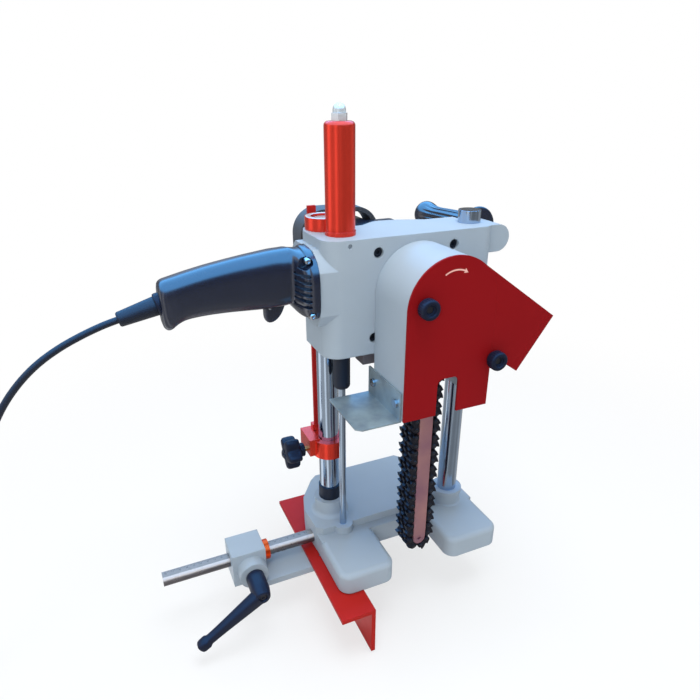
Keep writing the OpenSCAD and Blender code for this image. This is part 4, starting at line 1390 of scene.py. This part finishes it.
@dataclass
class RingFace(SubAssembly):
    """A pale face on the ring round the left column, which paints the highlight on the ring's top, and a pale
    disc on the column's end, which paints the reflection there.

    Attributes:
        inner: Its inner radius.
        outer: Its outer radius.
        end: Radius of the column's end.
        broken: How much of an edge is broken away.
    """

    body: str = "head"
    inner: float = 16.7
    outer: float = 23.6
    end: float = 14.6
    broken: float = 0.3

    def build(self) -> None:
        """Makes the thin pale face with broken edges, which paints the ring's highlight, and the pale end
        disc inside it, which paints the column's reflection.
        """
        column = Extent.of("column_left")
        over = placed((column.middle.x, column.middle.y, Extent.of("column_ring").high.z), UP)
        profile = [
            (self.inner, -0.4), (self.outer, -0.4), (self.outer, 0.1), (self.outer - self.broken, 0.3),
            (self.inner + self.broken, 0.3), (self.inner, 0.1),
        ]
        self.piece("column_ring_highlight", Mesh().turned(profile, over, 64, loop=True), NICKEL_AND_HIGHLIGHT)
        profile = [(0.2, -0.6), (self.end, -0.6), (self.end, 0.1), (self.end - 0.6, 0.5), (0.2, 0.5)]
        disc = Mesh().turned(profile, placed((column.middle.x, column.middle.y, column.high.z), UP), 64)
        SubAssembly("base").piece("column_end_reflection", disc, NICKEL_AND_HIGHLIGHT)


@dataclass
class CoverMark(SubAssembly):
    """The plain curved arrow that shows which way the chain runs.

    Attributes:
        centre: Middle of the arrow's curve, in X and Z.
        radius: Radius of the curve.
        half: Half the line's width.
        first: Where the curve starts, in degrees.
        sweep: How far it turns, in degrees.
    """

    body: str = "head"
    centre: tuple[float, float] = (0.5, 435.0)
    radius: float = 27.0
    half: float = 0.85
    first: float = 124.0
    sweep: float = 56.0

    def build(self) -> None:
        """Makes the arrow as a thin raised mark."""
        angles = [math.radians(self.first - self.sweep * k / 12) for k in range(13)]
        tip = angles[-1]
        outline = [(self.radius + self.half, angle) for angle in angles]
        outline += [(self.radius + 3.0, tip), (self.radius - 0.2, tip - 0.20), (self.radius - 2.8, tip)]
        outline += [(self.radius - self.half, angle) for angle in reversed(angles)]
        flat = [(self.centre[0] + r * math.cos(a), self.centre[1] + r * math.sin(a)) for r, a in outline]
        face = Extent.of("cover").low.y
        mark = Mesh().plate(flat, face - 0.12, face + 0.05, lambda a, b, y: (a, y, b))
        self.piece("cover_arrow", mark, PALE_MARK)


@dataclass
class ScaleMarks(SubAssembly):
    """The engraved lines and numbers of a scale.

    Attributes:
        name: The piece's name.
        finish: The finish of the marks.
        start: The first line's outer end.
        along: The direction in which the scale counts.
        across: The direction in which the lines run.
        out: The direction in which the face looks.
        count: Number of lines.
        step: Distance between lines.
        tall: Length of the long lines.
    """

    name: str = "scale_lines"
    finish: Finish = DARK_MARK
    start: Point = (0.0, 0.0, 0.0)
    along: Point = (1.0, 0.0, 0.0)
    across: Point = (0.0, 1.0, 0.0)
    out: Point = (0.0, 0.0, 1.0)
    count: int = 10
    step: float = 2.0
    tall: float = 5.0

    def stroke(self, a0: float, a1: float, b0: float, b1: float) -> Mesh:
        """One raised hair's breadth of paint between two distances along and across.

        Args:
            a0: Where it starts along the scale.
            a1: Where it ends along the scale.
            b0: Where it starts across the scale.
            b1: Where it ends across the scale.

        Returns:
            The stroke.
        """
        origin, along, across, out = (Vector(v) for v in (self.start, self.along, self.across, self.out))
        corners = [(a0, b0), (a1, b0), (a1, b1), (a0, b1)]
        return Mesh().plate(corners, -0.02, 0.05, lambda a, b, up: origin + along * a + across * b + out * up)

    def figure(self, digit: int, place: float, base: float) -> list[tuple[float, float, float, float]]:
        """The strokes of one digit, 1.5 wide and 2.6 high.

        Args:
            digit: The digit.
            place: Where it starts along the scale.
            base: Where it starts across the scale.

        Returns:
            The strokes' bounds.
        """
        bars = {
            "a": (0.0, 1.5, 2.3, 2.6), "b": (1.2, 1.5, 1.3, 2.6), "c": (1.2, 1.5, 0.0, 1.3),
            "d": (0.0, 1.5, 0.0, 0.3), "e": (0.0, 0.3, 0.0, 1.3), "f": (0.0, 0.3, 1.3, 2.6),
            "g": (0.0, 1.5, 1.15, 1.45),
        }
        lit = ("abcdef", "bc", "abged", "abgcd", "fgbc", "afgcd", "afgedc", "abc", "abcdefg", "abcdfg")[digit]
        return [(place + bars[k][0], place + bars[k][1], base + bars[k][2], base + bars[k][3]) for k in lit]

    def build(self) -> None:
        """Makes the lines, longer at each tenth millimetre, with the centimetres in figures there."""
        strokes = []
        for index in range(self.count):
            spot = self.step * index
            whole = abs(spot / 10.0 - round(spot / 10.0)) < 0.01
            strokes.append((spot - 0.16, spot + 0.16, 0.0, self.tall if whole else 0.55 * self.tall))
            if whole:
                for order, letter in enumerate(str(round(spot / 10.0))):
                    strokes += self.figure(int(letter), spot + 0.7 + 1.9 * order, 0.62 * self.tall)
        lines = Mesh()
        for bounds in strokes:
            lines.join(self.stroke(*bounds))
        self.piece(self.name, lines, self.finish)


# Studio


@dataclass
class Studio:
    """The floor, the lights and the camera.

    Attributes:
        eye: The camera's place.
        yaw: Its turn from +Y towards +X, in radians.
        pitch: Its slope downwards, in radians.
        roll: Its roll, in radians.
        focal: Its focal length in pixels of the frame.
        middle: The principal point in pixels.
        side: The frame's side in pixels.
        sensor: Width of the camera's sensor in millimetres.
        floor: Height of the floor.
        spread: Half the floor's side, in metres.
        sky: The cool light that a mirror sees above.
        day: The tint of the light from all round.
        aim: Where the lamps point, in metres.
    """

    eye: Point = (-362.6, -683.6, 636.5)
    yaw: float = 0.413
    pitch: float = 0.447
    roll: float = -0.004
    focal: float = 574.98
    middle: tuple[float, float] = (347.92, 371.79)
    side: float = 700.0
    sensor: float = 36.0
    floor: float = -84.2
    spread: float = 8.0
    sky: Colour = (0.95, 3.0, 6.2)
    day: Colour = (0.86, 0.93, 1.0)
    aim: Point = (-0.02, -0.05, 0.25)

    def camera(self) -> None:
        """Makes the camera at the photograph's place."""
        data = bpy.data.cameras.new("camera")
        data.sensor_width = self.sensor
        data.sensor_fit = "HORIZONTAL"
        data.lens = self.focal / self.side * self.sensor
        data.shift_x = (self.side / 2 - self.middle[0]) / self.side
        data.shift_y = (self.middle[1] - self.side / 2) / self.side
        data.clip_start = 0.01
        ahead = Vector((math.sin(self.yaw), math.cos(self.yaw), 0.0))
        forward = ahead * math.cos(self.pitch) - Vector(UP) * math.sin(self.pitch)
        level = Vector((math.cos(self.yaw), -math.sin(self.yaw), 0.0))
        up = level.cross(forward)
        right = level * math.cos(self.roll) + up * math.sin(self.roll)
        above = up * math.cos(self.roll) - level * math.sin(self.roll)
        turn = Matrix((right, above, -forward)).transposed().to_4x4()
        thing = bpy.data.objects.new("camera", data)
        thing.matrix_world = Matrix.Translation(Vector(self.eye) * MM) @ turn
        bpy.context.scene.collection.objects.link(thing)
        bpy.context.scene.camera = thing

    def lamp(self, name: str, place: Point, size: float, power: float, tint: Colour) -> None:
        """Adds a soft square light, which no mirror shows.

        Args:
            name: The light's name.
            place: Where it is, in metres.
            size: The side of the square, in metres.
            power: Its power in watts.
            tint: Its colour.
        """
        data = bpy.data.lights.new(name, "AREA")
        data.size = size
        data.energy = power
        data.color = tint
        thing = bpy.data.objects.new(name, data)
        thing.matrix_world = placed(place, Vector(place) - Vector(self.aim))
        thing.visible_glossy = False
        bpy.context.scene.collection.objects.link(thing)

    @staticmethod
    def room(graph: Graph, place: Sock) -> Sock:
        """What a mirror sees round the machine: dark walls with narrow bright windows.

        Args:
            graph: The graph that uses it.
            place: A direction, or a point on the floor.

        Returns:
            The colour.
        """
        turn = graph.node("ShaderNodeTexGradient", {"gradient_type": "RADIAL"}, {"Vector": place}, "Fac")
        shades = [
            (0.0, 0.55), (0.05, 0.45), (0.085, 0.50), (0.098, 1.3), (0.125, 1.3), (0.14, 0.34),
            (0.19, 0.20), (0.205, 0.6), (0.22, 0.20), (0.29, 0.14), (0.36, 0.26), (0.40, 0.12),
            (0.455, 0.42), (0.50, 0.50), (0.54, 0.16), (0.66, 0.20), (0.74, 0.6), (0.80, 0.24),
            (0.90, 0.30), (0.93, 1.5), (0.98, 1.4), (1.0, 0.55),
        ]
        stops = [(spot, (shade * 0.97, shade * 0.98, shade)) for spot, shade in shades]
        return graph.node("ShaderNodeValToRGB", {"stops": stops}, {0: turn})

    @staticmethod
    def mirrored(graph: Graph) -> Sock:
        """Tells what a mirror sees from what the camera sees.

        Args:
            graph: The graph that uses it.

        Returns:
            1 where a reflection or a refraction looks, else 0.
        """
        glossy = graph.node("ShaderNodeLightPath", output="Is Glossy Ray")
        through = graph.node("ShaderNodeLightPath", output="Is Transmission Ray")
        return graph.node("ShaderNodeMath", {"operation": "MAXIMUM"}, {0: glossy, 1: through})

    def world(self) -> None:
        """Makes the pale surroundings, white to the camera, with a cool sky above in reflections."""
        world = bpy.data.worlds.new("studio")
        bpy.context.scene.world = world
        graph = Graph(world, "ShaderNodeOutputWorld")
        way = graph.node("ShaderNodeTexCoord", output="Generated")
        up = graph.node("ShaderNodeSeparateXYZ", {}, {0: way}, "Z")
        above = graph.node("ShaderNodeMapRange", {}, {"Value": up, "From Min": 0.33, "From Max": 0.50})
        seen = graph.mixed(above, self.room(graph, way), self.sky)
        dim = graph.node("ShaderNodeBackground", {}, {"Color": (*self.day, 1.0), "Strength": 0.74})
        sheen = graph.node("ShaderNodeBackground", {}, {"Color": seen, "Strength": 1.0})
        white = graph.node("ShaderNodeBackground", {}, {"Color": (1.0, 1.0, 1.0, 1.0), "Strength": 1.0})
        lit = graph.node("ShaderNodeMixShader", {}, {0: self.mirrored(graph), 1: dim, 2: sheen})
        camera = graph.node("ShaderNodeLightPath", output="Is Camera Ray")
        graph.shell(graph.node("ShaderNodeMixShader", {}, {0: camera, 1: lit, 2: white}))

    def ground(self) -> None:
        """Makes the pale floor, which fades to white away from the machine."""
        data = bpy.data.meshes.new("floor")
        corners = ((-1, -1), (1, -1), (1, 1), (-1, 1))
        points = [(self.spread * x, self.spread * y, self.floor * MM) for x, y in corners]
        data.from_pydata(points, [], [(0, 1, 2, 3)])
        made = bpy.data.materials.new("floor_white")
        graph = Graph(made)
        place = graph.node("ShaderNodeTexCoord", output="Object")
        reach = graph.node("ShaderNodeVectorMath", {"operation": "LENGTH"}, {0: place}, "Value")
        far = graph.node(
            "ShaderNodeMapRange", {"interpolation_type": "SMOOTHSTEP"},
            {"Value": reach, "From Min": 0.35, "From Max": 1.3, "To Min": 0.66, "To Max": 1.0},
        )
        mirror = self.mirrored(graph)
        camera = graph.node("ShaderNodeLightPath", output="Is Camera Ray")
        glow = graph.mixed(mirror, (1.0, 1.0, 1.0), self.room(graph, place))
        matt = graph.node("ShaderNodeBsdfDiffuse", {}, {"Color": (0.74, 0.745, 0.75, 1.0)})
        bright = graph.node("ShaderNodeEmission", {}, {"Color": glow, "Strength": 1.0})
        share = camera * far + mirror * 0.85
        graph.shell(graph.node("ShaderNodeMixShader", {}, {0: share, 1: matt, 2: bright}))
        data.materials.append(made)
        thing = bpy.data.objects.new("floor", data)
        bpy.context.scene.collection.objects.link(thing)

    def build(self) -> None:
        """Makes the whole studio and the plain view settings."""
        self.camera()
        self.world()
        self.ground()
        self.lamp("sky_box", (-0.05, -0.30, 2.0), 1.1, 29.0, (0.90, 0.95, 1.0))
        self.lamp("left_box", (-1.5, -1.75, 1.2), 1.2, 17.0, (1.0, 0.985, 0.96))
        self.lamp("right_box", (1.7, -1.3, 0.9), 1.4, 3.0, (1.0, 0.98, 0.96))
        self.lamp("back_box", (-1.1, 1.5, 1.5), 1.2, 6.0, (0.92, 0.96, 1.0))
        bpy.context.scene.view_settings.view_transform = "Standard"


def plain_groups() -> list[SubAssembly]:
    """The sub-assemblies whose CAD nodes are shown as they are."""
    return [
        SubAssembly("base", {
            "base": CAST_GREY, "column_left": CHROMED, "column_right": CHROMED, "column_sleeve": BLACK_RUBBER,
            "spring_rod": CHROMED, "rod_cap": BRIGHT_STEEL, "fence_bar": FLAT_STEEL_PAINTED_LIGHT,
        }),
        SubAssembly("head", {
            "housing": CAST_GREY, "column_ring": RED_ANODISED, "bar_guide": CAST_GREY,
            "spring_tube": RED_ANODISED, "tube_nut": NICKEL_AND_HIGHLIGHT, "bumper": BLACK_RUBBER,
            # The housing's screws are dressed near-black: painted shade in their holes.
            "housing_screws": SCREW_HOLE_SHADE, "guard": CAST_GREY, "cover": DEEP_RED, "cover_studs": RIVET_STEEL,
            "shelf": ZINC_PLATE, "shelf_screws": BRIGHT_STEEL, "guide_bar": BAR_STEEL,
            "bar_holder": CAST_GREY, "bar_bolts": BRIGHT_STEEL, "mortise_chain": DARK_CHAIN,
            "tension_block": BROWN_BLOCK, "rear_casing": SATIN_BLACK, "rear_loop": LOOP_GREY_SHEEN,
            "grip_core": BRIGHT_STEEL,
        }),
        SubAssembly("chain_drive", {
            "drive_shaft": BRIGHT_STEEL, "sprocket": BRIGHT_STEEL, "drive_gear": BRIGHT_STEEL,
        }),
        SubAssembly("motor", {
            "motor_shaft": BRIGHT_STEEL, "armature": COPPER, "motor_fan": BLACK_PLASTIC,
        }),
        SubAssembly("depth_stop", {
            "depth_stop": RED_ANODISED, "scale_bar": RED_FENCE, "stop_screw": BRASS_SCREW,
        }),
        SubAssembly("fence", {
            "fence_clamp": CAST_GREY, "fence_angle": RED_FENCE, "fence_screws": BRIGHT_STEEL,
            "clamp_stud": BRIGHT_STEEL,
        }),
        SubAssembly("stop_ring", {"stop_ring": ORANGE_RING}),
    ]


def scales() -> list[ScaleMarks]:
    """The depth scale on the red bar and the reach scale on the flat of the fence bar.

    Returns:
        Both scales.
    """
    upright, bar = Extent.of("scale_bar"), Extent.of("fence_bar")
    depth = ScaleMarks(
        "depth_stop", name="depth_scale", finish=PALE_MARK, start=(upright.low.x, upright.high.y, 194.0),
        along=UP, across=(1.0, 0.0, 0.0), out=(0.0, 1.0, 0.0), count=151, step=2.0, tall=6.0,
    )
    reach = ScaleMarks(
        "base", name="reach_scale", finish=DARK_MARK, start=(bar.low.x + 4.0, -12.4, BAR_TOP),
        along=(1.0, 0.0, 0.0), across=FORWARD, out=UP, count=111, step=2.0, tall=5.2,
    )
    return [depth, reach]


def groups() -> list[SubAssembly]:
    """The machine's sub-assemblies in the order in which they are built."""
    return [
        PowerCord(), *plain_groups(), TriggerHandle(), SideHandle(), CoverKnob("knob_upper"),
        CoverKnob("knob_lower"), StarKnob(), ClampLever(), ReturnSpring(), ChainLoop(), RingFace(),
        CoverMark(), *scales(),
    ]


def main() -> None:
    """Builds the studio and every sub-assembly."""
    logging.basicConfig(level=logging.INFO, format="%(message)s")
    Studio().build()
    for group in groups():
        group.build()
        group.dress()
        LOG.info("finished %s", type(group).__name__)


if __name__ == "__main__":
    main()
